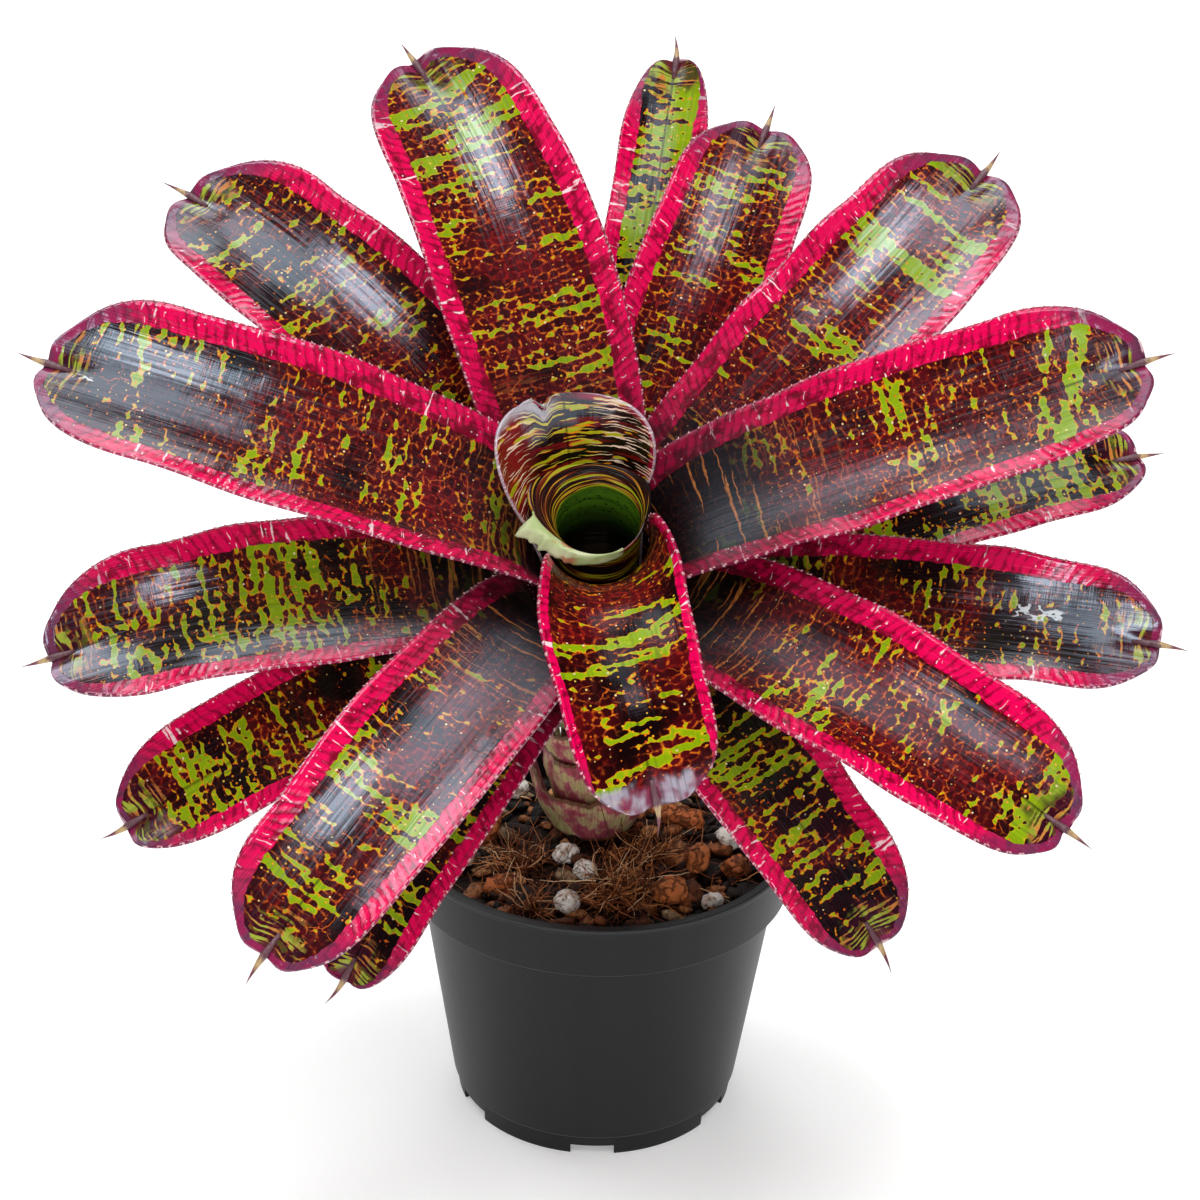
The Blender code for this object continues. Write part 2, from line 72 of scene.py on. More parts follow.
FULL_WIDTH_AT = 0.62         # of the length: the blade is at its full width
TIP_SHARE = 0.18             # of the length: the rounded end
TIP_POWER = 2.8              # 2 is an ellipse, more is blunter

# name: direction, sheath radius, length, width, blade's elevation at neck and tip, sweep, hollow
LEAVES = {
    "leaf_01_tube": (-110, 0.0140, 0.0525, 0.100, 94, 94, 0, 0.014),
    "leaf_02_hood": (121, 0.0163, 0.089, 0.068, 76, 54, -24, 0.027),
    "leaf_03_front": (-86, 0.0178, 0.154, 0.052, 39, -50, 18, 0.038),
    "leaf_04_left": (175, 0.0196, 0.223, 0.068, 25, 4, -11, 0.060),
    "leaf_05_right": (13, 0.0201, 0.221, 0.066, 17, 14, 2, 0.060),
    "leaf_06_back": (107, 0.0220, 0.217, 0.065, 38, 6, 16, 0.060),
    "leaf_07_front_left": (-121, 0.0225, 0.213, 0.056, 14, -20, -6, 0.060),
    "leaf_08_front_right": (-34, 0.0241, 0.210, 0.060, 11, -12, 0, 0.060),
    "leaf_09_back_right": (40, 0.0256, 0.225, 0.064, 28, 5, 14, 0.060),
    "leaf_10_back_left": (138, 0.0270, 0.228, 0.065, 33, -6, 5, 0.060),
    "leaf_11_left": (-167, 0.0289, 0.210, 0.061, 18, -11, 4, 0.060),
    "leaf_12_right": (-10, 0.0281, 0.213, 0.055, 12, 5, -2, 0.060),
    "leaf_13_front_right": (-52, 0.0299, 0.179, 0.048, 5, -30, 0, 0.060),
    "leaf_14_back_right": (71, 0.0296, 0.211, 0.055, 32, 8, 0, 0.060),
    "leaf_15_front_left": (-150, 0.0297, 0.200, 0.049, 9, -18, 0, 0.060),
    "leaf_16_front_left": (-122, 0.0315, 0.177, 0.037, 0, -35, 0, 0.060),
    "leaf_17_right": (15, 0.0315, 0.220, 0.048, 24, -5, 0, 0.060),
    "leaf_18_back": (83, 0.0325, 0.238, 0.034, 34, 10, 0, 0.060),
}

# name: share of lime, how far its bands run across, warmth of the red net, more lime at the tip,
# pitch of the bands in mm, and how far up the blade its dark base (own colour and painted shade) reaches in
# mm
LOOKS = {
    "leaf_03_front": (0.14, 1.2, 0.85, 0.0, 3.4, 74),
    "leaf_04_left": (0.17, 1.2, 1.1, 0.0, 4.6, 88),
    "leaf_05_right": (0.08, 1.5, 1.1, 0.3, 4.6, 118),
    "leaf_06_back": (0.13, 2.6, 1.2, 0.8, 5.0, 96),
    "leaf_07_front_left": (0.12, 1.3, 0.9, 0.2, 4.2, 110),
    "leaf_08_front_right": (0.16, 1.0, 1.1, 0.2, 4.4, 112),
    "leaf_09_back_right": (0.11, 1.6, 1.2, 0.6, 4.4, 104),
    "leaf_10_back_left": (0.24, 1.1, 0.7, 0.0, 4.8, 104),
    "leaf_11_left": (0.29, 1.0, 0.6, 0.2, 4.2, 104),
    "leaf_12_right": (0.32, 1.2, 0.6, -0.6, 4.2, 112),
    "leaf_13_front_right": (0.33, 2.2, 0.35, 0.2, 3.4, 104),
    "leaf_14_back_right": (0.20, 1.8, 1.1, 0.3, 4.2, 96),
    "leaf_15_front_left": (0.24, 1.2, 0.6, 0.2, 3.8, 104),
    "leaf_16_front_left": (0.32, 1.8, 0.3, 0.0, 4.0, 104),
    "leaf_17_right": (0.48, 1.8, 0.4, 0.0, 4.0, 104),
    "leaf_18_back": (0.42, 2.6, 0.4, 0.9, 4.0, 110),
}

# broken lime bands across a leaf: distance along it, half thickness (mm), slope, strength
BANDS = {
    "leaf_03_front": ((85.0, 0.6, 0.20, 0.24), (98.5, 1.4, -0.20, 0.27), (107.5, 0.7, -0.15, 0.24),
                      (141.0, 0.5, -0.20, 0.30)),
    "leaf_04_left": ((193.0, 2.0, -0.10, 0.16), (148.0, 2.5, 0.10, 0.12)),
    "leaf_05_right": ((197.0, 2.6, 0.45, 0.30), (187.0, 1.0, 0.40, 0.22)),
    "leaf_06_back": ((200.0, 1.6, -0.20, 0.28), (181.0, 3.0, -0.25, 0.26), (117.0, 4.0, -0.20, 0.10)),
    "leaf_07_front_left": ((151.0, 7.0, 0.15, 0.20), (189.0, 1.5, 0.0, 0.18)),
    "leaf_08_front_right": ((199.0, 1.2, 0.0, 0.24),),
    "leaf_09_back_right": ((179.0, 2.4, 0.15, 0.30), (199.0, 0.8, 0.10, 0.24), (140.0, 5.0, 0.0, 0.12)),
    "leaf_11_left": ((130.0, 9.0, 0.0, 0.10),),
}

# pale peeled strips: across and along the leaf, half width, half length (mm)
SCARS = {
    "leaf_04_left": (1.5, 210.0, 1.0, 5.5),
    "leaf_12_right": (5.0, 172.0, 3.4, 12.0),
}

# how much of the red net is left towards the tip, for the leaves that lose it there
OUTER_WARMTH = {
    "leaf_04_left": 0.15,
    "leaf_05_right": 0.60,
    "leaf_07_front_left": 0.60,
    "leaf_10_back_left": 0.55,
    "leaf_12_right": 0.50,
}

# leaves that shine less than the others
SHEEN = {
    "leaf_03_front": 0.14,
    "leaf_05_right": 0.45,
    "leaf_07_front_left": 0.75,
    "leaf_08_front_right": 0.30,
    "leaf_14_back_right": 0.50,
    "leaf_15_front_left": 0.40,
    "leaf_16_front_left": 0.45,
    "leaf_17_right": 0.35,
    "leaf_18_back": 0.25,
}

BLADE_ROWS = 120
TIP_ROWS = 26
LEAF_COLUMNS = 30
LEAF_THICKNESS = 0.0009
SPINE_LENGTH = 0.0105        # beyond the blade
SPINE_KEEL = 0.0090          # length of its keel on the blade
SPINE_RADIUS = 0.0018
SPINE_SIDES = 10
TOOTH_SPACING = 0.0034
FIRST_TOOTH = 0.030          # distance of the first tooth from the joint
TOOTH_REACH = 0.5 * MM       # how far a tooth stands out from the margin
TOOTH_BEHIND = 0.8 * MM      # how far its root runs back from its middle
TOOTH_AHEAD = 0.6 * MM       # and forward, as far as its point
TOOTH_DEPTH = 0.3 * MM       # depth of its root in the margin, and half its thickness
RIPPLE = 0.5 * MM            # height and lengths of the waves along the margins
RIPPLE_LENGTHS = (0.030, 0.060)
RIPPLES = 3
TIP_ZONE = 0.022             # the tip's own shape grows over this length
TIP_LOBE = 0.0020            # how far the shoulders stand beyond the root of the spine
LOBE_AT = 0.0085             # middle of a shoulder, from the midrib
LOBE_SPREAD = 0.0060
TIP_PINCH = 0.0020           # depth of the crease that leads into the spine
PINCH_SPREAD = 0.0035
NOTCH_DEPTH = 0.0042         # the notch in the hood's top edge
NOTCH_AT = 0.0070            # this far from its middle
NOTCH_SPREAD = 0.0019
TORN_WAVES = 2100.0          # small waves of the hood's edge beside the notch, radians per metre
TORN_AT = 0.0100
TORN_SPREAD = 0.0050
FRONT_SHOULDER = 0.0118      # more width on one side of the front leaf, where it wraps the cup
SHOULDER_SPAN = (0.034, 0.096)     # distances from the joint between which it is wider
SHOULDER_RISE = 0.014
SHOULDER_FALL = 0.044
FRONT_RADIUS = 0.018         # greatest radius that its sheath is bent to
FRONT_OPENS_AT = 0.053       # distance where its sheath starts to flatten into the blade
FRONT_OPENING = 0.047        # over this length
FRONT_MARGIN = 0.0036        # width of its crimson margin
LEAST_MARGIN = 0.0035        # the other margins are this wide, and wider by a share
MARGIN_SHARE = 0.078         # of the leaf's width


# ---------------------------------------------------------------- helpers
def pot_centre():
    """Middle of the pot's foot in the frame."""
    low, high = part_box("pot")
    return Vector(((low.x + high.x) / 2.0, (low.y + high.y) / 2.0, low.z))


AT_POT = Matrix.Translation(pot_centre())
AT_CROWN = AT_POT @ Matrix.Translation(CROWN_BASE) @ Matrix.Rotation(CROWN_LEAN, 4, "X")


def smoothstep(value):
    """0 to 1 with level ends."""
    value = np.clip(value, 0.0, 1.0)
    return value * value * (3.0 - 2.0 * value)


def bell(value, middle, spread):
    """A bell curve, 1 at its middle."""
    return np.exp(-((value - middle) / spread) ** 2)


def add_piece(name, mesh, material, replaced, matrix=AT_POT):
    """Put a mesh in the scene as a piece of the root body."""
    mesh.materials.append(material)
    mesh.transform(matrix)
    mesh.shade_smooth()
    piece = bpy.data.objects.new(name, mesh)
    bpy.context.scene.collection.objects.link(piece)
    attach(piece, "root")
    if replaced:
        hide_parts(*replaced)
    return piece


def mesh_from(name, points, faces):
    """A mesh with the given vertices and faces."""
    mesh = bpy.data.meshes.new(name)
    mesh.from_pydata([tuple(point) for point in points], [], faces)
    mesh.update()
    return mesh


def grid_faces(rows, columns):
    """Quads of a grid of rows by columns points."""
    faces = []
    for row in range(rows - 1):
        for column in range(columns - 1):
            corner = row * columns + column
            faces.append((corner, corner + columns, corner + columns + 1, corner + 1))
    return faces


def set_uv(mesh, name, values):
    """A UV map from one pair of values per vertex."""
    layer = mesh.uv_layers.new(name=name)
    loops = np.empty(len(mesh.loops), dtype=np.int32)
    mesh.loops.foreach_get("vertex_index", loops)
    layer.data.foreach_set("uv", np.asarray(values, dtype=np.float32)[loops].ravel())


def thicken(piece, thickness, offset=-1.0, inner_slot=0):
    """Give a thin piece its thickness. Its inner side takes the material that many slots on."""
    shell = piece.modifiers.new("thickness", "SOLIDIFY")
    shell.thickness = thickness
    shell.offset = offset
    shell.material_offset = inner_slot


def uv_mm(value):
    """Millimetres along or across a leaf, in units of its UV map."""
    return value * MM / UV_UNIT


class Value:
    """A node's output that can be added, subtracted, multiplied and divided like a number."""

    def __init__(self, shader, socket):
        self.shader = shader
        self.socket = socket

    def __add__(self, other):
        return self.shader.math("ADD", self, other)

    def __radd__(self, other):
        return self.shader.math("ADD", other, self)

    def __sub__(self, other):
        return self.shader.math("SUBTRACT", self, other)

    def __rsub__(self, other):
        return self.shader.math("SUBTRACT", other, self)

    def __mul__(self, other):
        return self.shader.math("MULTIPLY", self, other)

    def __truediv__(self, other):
        return self.shader.math("DIVIDE", self, other)

    def __abs__(self):
        return self.shader.math("ABSOLUTE", self)


class Shader:
    """Short words for building a material's nodes. A Value or a plain value may go in anywhere."""

    def __init__(self, name, roughness, bump=0.0):
        self.material = bpy.data.materials.new(name)
        self.material.use_nodes = True
        self.tree = self.material.node_tree
        self.surface = self.tree.nodes["Principled BSDF"]
        self.surface.inputs["Roughness"].default_value = roughness
        self.bump_distance = bump

    def put(self, socket, value):
        """Link a socket, or set a plain value."""
        if isinstance(value, Value):
            self.tree.links.new(value.socket, socket)
        elif socket.type == "RGBA" and len(value) == 3:
            socket.default_value = (*value, 1.0)
        else:
            socket.default_value = value

    def math(self, operation, first, second=0.0):
        """A Math node."""
        node = self.tree.nodes.new("ShaderNodeMath")
        node.operation = operation
        self.put(node.inputs[0], first)
        self.put(node.inputs[1], second)
        return Value(self, node.outputs[0])

    def greater(self, first, second):
        """The greater of two values."""
        return self.math("MAXIMUM", first, second)

    def step(self, value, low, high):
        """Smooth step from 0 at low to 1 at high."""
        node = self.tree.nodes.new("ShaderNodeMapRange")
        node.interpolation_type = "SMOOTHSTEP"
        self.put(node.inputs["Value"], value)
        self.put(node.inputs["From Min"], low)
        self.put(node.inputs["From Max"], high)
        return Value(self, node.outputs["Result"])

    def darker(self, colour, share):
        """A share of a colour, the rest of it black."""
        return self.mix(share, (0.0, 0.0, 0.0), colour)

    def mix(self, share, first, second):
        """Mix two colours."""
        node = self.tree.nodes.new("ShaderNodeMix")
        node.data_type = "RGBA"
        self.put(node.inputs[0], share)
        self.put(node.inputs[6], first)
        self.put(node.inputs[7], second)
        return Value(self, node.outputs[2])

    def ramp(self, value, stops):
        """Colours along a value, as (place, colour) stops."""
        node = self.tree.nodes.new("ShaderNodeValToRGB")
        marks = node.color_ramp.elements
        while len(marks) < len(stops):
            marks.new(0.5)
        for mark, (position, colour) in zip(marks, stops):
            mark.position = position
            mark.color = (*colour, 1.0)
        self.put(node.inputs[0], value)
        return Value(self, node.outputs["Color"])

    def vector(self, operation, first, second):
        """A Vector Math node."""
        node = self.tree.nodes.new("ShaderNodeVectorMath")
        node.operation = operation
        self.put(node.inputs[0], first)
        self.put(node.inputs[1], second)
        return Value(self, node.outputs[0])

    def scaled(self, vector, across, along, up=1.0):
        """A vector with each part multiplied."""
        return self.vector("MULTIPLY", vector, (across, along, up))

    def place(self):
        """Object coordinates, in metres."""
        return Value(self, self.tree.nodes.new("ShaderNodeTexCoord").outputs["Object"])

    def uv(self, name):
        """A UV map as a vector."""
        node = self.tree.nodes.new("ShaderNodeUVMap")
        node.uv_map = name
        return Value(self, node.outputs["UV"])

    def distance(self, vector, point):
        """Distance of a vector from a fixed point."""
        node = self.tree.nodes.new("ShaderNodeVectorMath")
        node.operation = "DISTANCE"
        self.put(node.inputs[0], vector)
        node.inputs[1].default_value = point
        return Value(self, node.outputs["Value"])

    def parts(self, vector):
        """First two parts of a vector."""
        node = self.tree.nodes.new("ShaderNodeSeparateXYZ")
        self.put(node.inputs[0], vector)
        return Value(self, node.outputs[0]), Value(self, node.outputs[1])

    def noise(self, vector, scale=1.0, detail=2.0, rough=0.5, output="Fac"):
        """A Noise texture."""
        node = self.tree.nodes.new("ShaderNodeTexNoise")
        self.put(node.inputs["Vector"], vector)
        node.inputs["Scale"].default_value = scale
        node.inputs["Detail"].default_value = detail
        node.inputs["Roughness"].default_value = rough
        return Value(self, node.outputs[output])

    def stretched(self, vector, across, along, detail=2.0, rough=0.5):
        """A Noise texture with its own scale across and along."""
        return self.noise(self.scaled(vector, across, along), 1.0, detail, rough)

    def cells(self, vector, scale=1.0, feature="F1", randomness=1.0, output="Distance", kind="2D"):
        """A Voronoi texture."""
        node = self.tree.nodes.new("ShaderNodeTexVoronoi")
        node.voronoi_dimensions = kind
        node.feature = feature
        self.put(node.inputs["Vector"], vector)
        node.inputs["Scale"].default_value = scale
        node.inputs["Randomness"].default_value = randomness
        return Value(self, node.outputs[output])

    def warped(self, vector, scale, reach):
        """A vector pushed about by a noise."""
        push = self.vector("SUBTRACT", self.noise(vector, scale, output="Color"), (0.5, 0.5, 0.5))
        return self.vector("ADD", vector, self.scaled(push, reach, reach, reach))

    def finish(self, colour, height=None, **settings):
        """Set the colour, the bump and the shader's own plain values."""
        self.put(self.surface.inputs["Base Color"], colour)
        for name, value in settings.items():
            self.surface.inputs[name.replace("_", " ")].default_value = value
        if height is not None:
            bump = self.tree.nodes.new("ShaderNodeBump")
            bump.inputs["Distance"].default_value = self.bump_distance
            self.put(bump.inputs["Height"], height)
            self.tree.links.new(bump.outputs["Normal"], self.surface.inputs["Normal"])
        return self.material


# ---------------------------------------------------------------- leaf materials
BLACK_BROWN = (0.0056, 0.0012, 0.0012)
MAROON = (0.090, 0.0030, 0.0050)
SEAM_RED = (0.240, 0.009, 0.006)
SEAM_ORANGE = (0.760, 0.180, 0.010)
BAND_COLOURS = (
    (0.00, (0.300, 0.020, 0.004)),
    (0.18, (0.560, 0.100, 0.004)),
    (0.32, (0.560, 0.310, 0.006)),
    (0.50, (0.300, 0.370, 0.003)),
    (1.00, (0.210, 0.320, 0.002)),
)
DOT_COLOURS = (
    (0.0, (0.500, 0.040, 0.008)),
    (0.4, (0.700, 0.160, 0.008)),
    (0.8, (0.650, 0.400, 0.020)),
    (1.0, (0.800, 0.660, 0.420)),
)
CRIMSON = (0.730, 0.0009, 0.080)
DEEP_CRIMSON = (0.200, 0.0005, 0.016)
PALE_PINK = (0.900, 0.600, 0.640)
SLATE = (0.060, 0.034, 0.070)
MAUVE = (0.190, 0.016, 0.070)
DARK_PURPLE = (0.080, 0.006, 0.030)


BAND_FADE = 2.6              # mm, from a band's edge to where it is gone
BAND_CORE = 0.9              # mm, from a band's edge to where it is strongest


def long_bands(shader, wavy, bands):
    """Strength of the strongest band at each place, falling to 0 through the bands' soft edges."""
    across, far = shader.parts(wavy)
    inside = 0.0
    for middle, half, slope, strength in bands:
        off = abs(far - (uv_mm(middle) + across * slope))
        band = shader.step(off, uv_mm(half + BAND_FADE), uv_mm(half - BAND_CORE))
        inside = shader.greater(inside, band * strength)
    return inside


def leaf_face(shader, uv, place, along, look, bands, outer_warmth):
    """Blade inside its margins: dark cells, red seams, lime bands, dots. Also how far the bands reach."""
    lime, run, warmth, tip_lime, pitch, dark_end = look
    wavy = shader.warped(shader.warped(place, 12.0, 0.030), 50.0, 0.010)
    _, up = shader.parts(wavy)
    rows = shader.math("PINGPONG", up * (UV_UNIT / (pitch * MM)), 0.5)
    streaks = shader.stretched(wavy, 8.0 / run, 24.0)
    clusters = shader.stretched(place, 2.6, 3.6, detail=1.0)
    crumbs = shader.stretched(place, 42.0, 60.0, detail=1.0)
    level = streaks + clusters * 0.6 + crumbs * 0.12 + rows * 0.30
    level = level + shader.step(along, 0.45, 0.92) * (0.12 * tip_lime) - (1.145 - 0.45 * lime)
    if bands:
        level = level + long_bands(shader, shader.warped(uv, 14.0, 0.030), bands)

    cells = shader.scaled(wavy, 25.0, 36.0)
    inside = shader.cells(cells, feature="DISTANCE_TO_EDGE", randomness=0.8)
    out = shader.cells(cells, randomness=0.8)
    warm = shader.stretched(place, 3.1, 4.3, detail=1.0)
    warm = shader.step(warm, 0.60 - 0.34 * warmth, 0.76 - 0.20 * warmth)
    warm = warm * (outer_warmth + shader.step(along, 0.86, 0.58) * (1.0 - outer_warmth))
    pick, _ = shader.parts(shader.cells(cells, randomness=0.8, output="Color"))
    ground = shader.mix(warm * (0.30 + pick * 0.70), BLACK_BROWN, MAROON)
    seam = shader.step(inside, 0.24, 0.03) * (warm * 0.9) * shader.step(crumbs, 0.34, 0.62)
    glow = shader.step(level, -0.24, -0.02) * shader.step(crumbs, 0.40, 0.58)
    glow = glow * shader.step(inside, 0.15, 0.02)
    ground = shader.mix(seam, ground, shader.mix(glow, SEAM_RED, SEAM_ORANGE))
    net = shader.scaled(shader.warped(place, 20.0, 0.05), 9.0, 15.0)
    net = shader.cells(net, feature="DISTANCE_TO_EDGE", randomness=0.9)
    patchy = shader.stretched(place, 7.0, 10.0)
    thread = shader.step(net, 0.026, 0.010) * shader.step(patchy, 0.56, 0.62)
    ground = shader.mix(thread * 0.8, ground, shader.mix(crumbs, SEAM_RED, SEAM_ORANGE))

    reach = level * 2.4 + (out - 0.44)
    heat = reach * 2.2 + crumbs * 0.22 + level * 1.6
    face = shader.mix(shader.step(reach, 0.0, 0.05), ground, shader.ramp(heat, BAND_COLOURS))

    spots = shader.scaled(place, 34.0, 38.0)
    dot_distance = shader.cells(spots, randomness=0.9)
    dot_pick, dot_tint = shader.parts(shader.cells(spots, randomness=0.9, output="Color"))
    size = 0.07 + shader.step(level, -0.30, 0.0) * 0.07
    dots = shader.step(size - dot_distance, -0.03, 0.03) * shader.step(dot_pick, 0.55, 0.65)
    face = shader.mix(dots, face, shader.ramp(dot_tint, DOT_COLOURS))

    _, far = shader.parts(uv)
    dark_end = uv_mm(dark_end)
    # dark base: the blade's own darker colour near its root, deepened with painted shade of the crown's
    # centre
    base = shader.step(far, dark_end - 0.40, dark_end)
    face = shader.mix(base, shader.darker(face, 0.05), face)
    arcs = shader.stretched(wavy, 2.4, 66.0, detail=1.0)
    arcs = shader.step(arcs, 0.61, 0.65) * shader.step(far, dark_end + 0.05, dark_end - 0.15) * 0.45
    return shader.mix(arcs, face, shader.mix(crumbs, SEAM_RED, (0.800, 0.330, 0.060))), reach


def leaf_margin(shader, place, edge, along, ridge, reach):
    """Colour of the margins: crimson with darker mottles, pale strokes and dots, slate towards the tip.
    The pale strokes at the ridges between the teeth are painted glints.
    """
    mottle = shader.stretched(place, 22.0, 14.0, detail=3.0, rough=0.6)
    mottle = mottle - edge * 0.16 - shader.step(along, 0.75, 0.35) * 0.06
    margin = shader.mix(shader.step(mottle, 0.24, 0.40), DEEP_CRIMSON, CRIMSON)
    dashes = shader.step(ridge, 0.26, 0.42) * shader.step(mottle, 0.62, 0.36)
    margin = shader.mix(dashes * 0.75, margin, DEEP_CRIMSON)
    # pale strokes: those at the ridges between the teeth are painted glints on the rippled margin; those
    # carrying the lime bands on are the leaf's own colour
    zone = shader.step(shader.stretched(place, 14.0, 30.0), 0.62, 0.66)
    thin = shader.stretched(shader.warped(place, 14.0, 0.03), 5.0, 62.0, detail=1.0)
    band = shader.step(thin, 0.62, 0.65) * shader.step(reach, -0.10, 0.10)
    strokes = shader.greater(shader.step(ridge, 0.07, 0.02) * zone, band)
    margin = shader.mix(strokes, margin, PALE_PINK)
    spots = shader.scaled(place, 21.0, 21.0)
    pick, _ = shader.parts(shader.cells(spots, output="Color"))
    spots = shader.step(-0.04 + pick * 0.11 - shader.cells(spots), -0.02, 0.02)
    margin = shader.mix(spots, margin, PALE_PINK)
    blot = shader.stretched(place, 12.0, 12.0, detail=3.0)
    dusk = shader.mix(shader.step(blot, 0.42, 0.58), SLATE, MAUVE)
    late = shader.step(along + blot * 0.16, 0.94, 1.05)
    return shader.mix(late * 0.88, margin, dusk)


def hood_colours(shader, place, across, along, edge):
    """The hood: thin curved arcs on black-brown, a red blush at its left, pale arcs painted as highlights
    on its ripples, painted shade low down and a painted pearly sheen at its top.
    """
    wavy = shader.warped(shader.warped(place, 12.0, 0.025), 40.0, 0.008)
    left = shader.step(across, 0.08, 0.22)
    right = shader.step(across, -0.05, -0.17)
    red = shader.stretched(wavy, 4.0, 30.0)
    warm = shader.greater(left, shader.step(red, 0.50, 0.62) * 0.6)
    face = shader.mix(warm, BLACK_BROWN, (0.210, 0.006, 0.007))
    rim = shader.step(edge, 0.30, 0.16) * shader.step(across, 0.0, -0.10)
    face = shader.mix(rim, face, (0.260, 0.002, 0.030))
    hue = shader.stretched(place, 12.0, 24.0)
    lime = shader.stretched(wavy, 7.0, 46.0, detail=1.0)
    lime = lime + shader.step(abs(across), 0.20, 0.06) * 0.06
    face = shader.mix(shader.step(lime, 0.62, 0.64), face, SEAM_ORANGE)
    lime_colour = shader.mix(hue, (0.560, 0.450, 0.010), (0.190, 0.340, 0.004))
    face = shader.mix(shader.step(lime, 0.64, 0.66), face, lime_colour)
    # pale gold arcs, denser at the flanks: painted highlights on the hood's ripples
    arcs = shader.stretched(wavy, 7.0, 125.0, detail=1.0)
    flank = shader.greater(left, right)
    pale = shader.mix(flank, (0.520, 0.420, 0.030), (0.860, 0.640, 0.480))
    face = shader.mix(shader.step(arcs - (0.60 - flank * 0.03), 0.0, 0.03), face, pale)
    # painted shade: the hood's lower part, down towards the cup, darkened almost to black
    face = shader.mix(shader.step(along, 0.74, 0.50) * 0.65, face, (0.008, 0.004, 0.003))
    # painted sheen: a pearly grey patch at the top of the hood
    cloudy = shader.stretched(place, 5.0, 8.0)
    painted_sheen = shader.mix(shader.step(cloudy, 0.36, 0.60), (0.110, 0.050, 0.070), (0.420, 0.390, 0.430))
    patch = shader.step(along + cloudy * 0.16, 1.01, 1.06) * shader.step(across, 0.0, 0.09)
    return shader.mix(patch * 0.9, face, painted_sheen)


def scar(shader, uv, row):
    """A pale peeled strip: across and along the leaf, half width and half length, all in mm."""
    across, far = shader.parts(shader.warped(uv, 30.0, 0.012))
    middle, distance, half_width, half_length = (uv_mm(value) for value in row)
    wide = (across - middle) / half_width
    long = (far - distance) / half_length
    off = wide * wide + long * long
    crease = shader.stretched(uv, 26.0, 15.0)
    branch = shader.step(abs(crease - 0.5), 0.050, 0.025)
    return shader.step(off, 1.0, 0.6) * branch * 0.8


def tip_colours(shader, name, place, root, face):
    """The face, darkened round the root of the spine, with thin orange and lime arcs there.

    The front leaf stays as it is but for the root itself. Returns the blotches too.
    """
    blot = shader.stretched(place, 16.0, 12.0)
    if name != "leaf_03_front":
        tip = shader.step(root + blot * 0.22, 0.29, 0.21) * 0.85
        face = shader.mix(tip, face, shader.mix(blot, (0.012, 0.002, 0.006), (0.060, 0.004, 0.016)))
        arcs = shader.stretched(shader.warped(place, 14.0, 0.02), 7.0, 78.0, detail=1.0)
        arcs = shader.step(arcs + shader.step(blot, 0.42, 0.56) * 0.06, 0.56, 0.60) * tip
        arc_colour = shader.mix(shader.step(blot, 0.44, 0.56), (0.560, 0.200, 0.040), (0.330, 0.400, 0.040))
        face = shader.mix(arcs, face, arc_colour)
    return shader.mix(shader.step(root, 0.060, 0.035), face, (0.110, 0.016, 0.020)), blot


def margin_width(name):
    """Width of a leaf's crimson margin."""
    return FRONT_MARGIN if name == "leaf_03_front" else LEAST_MARGIN + MARGIN_SHARE * LEAVES[name][3]


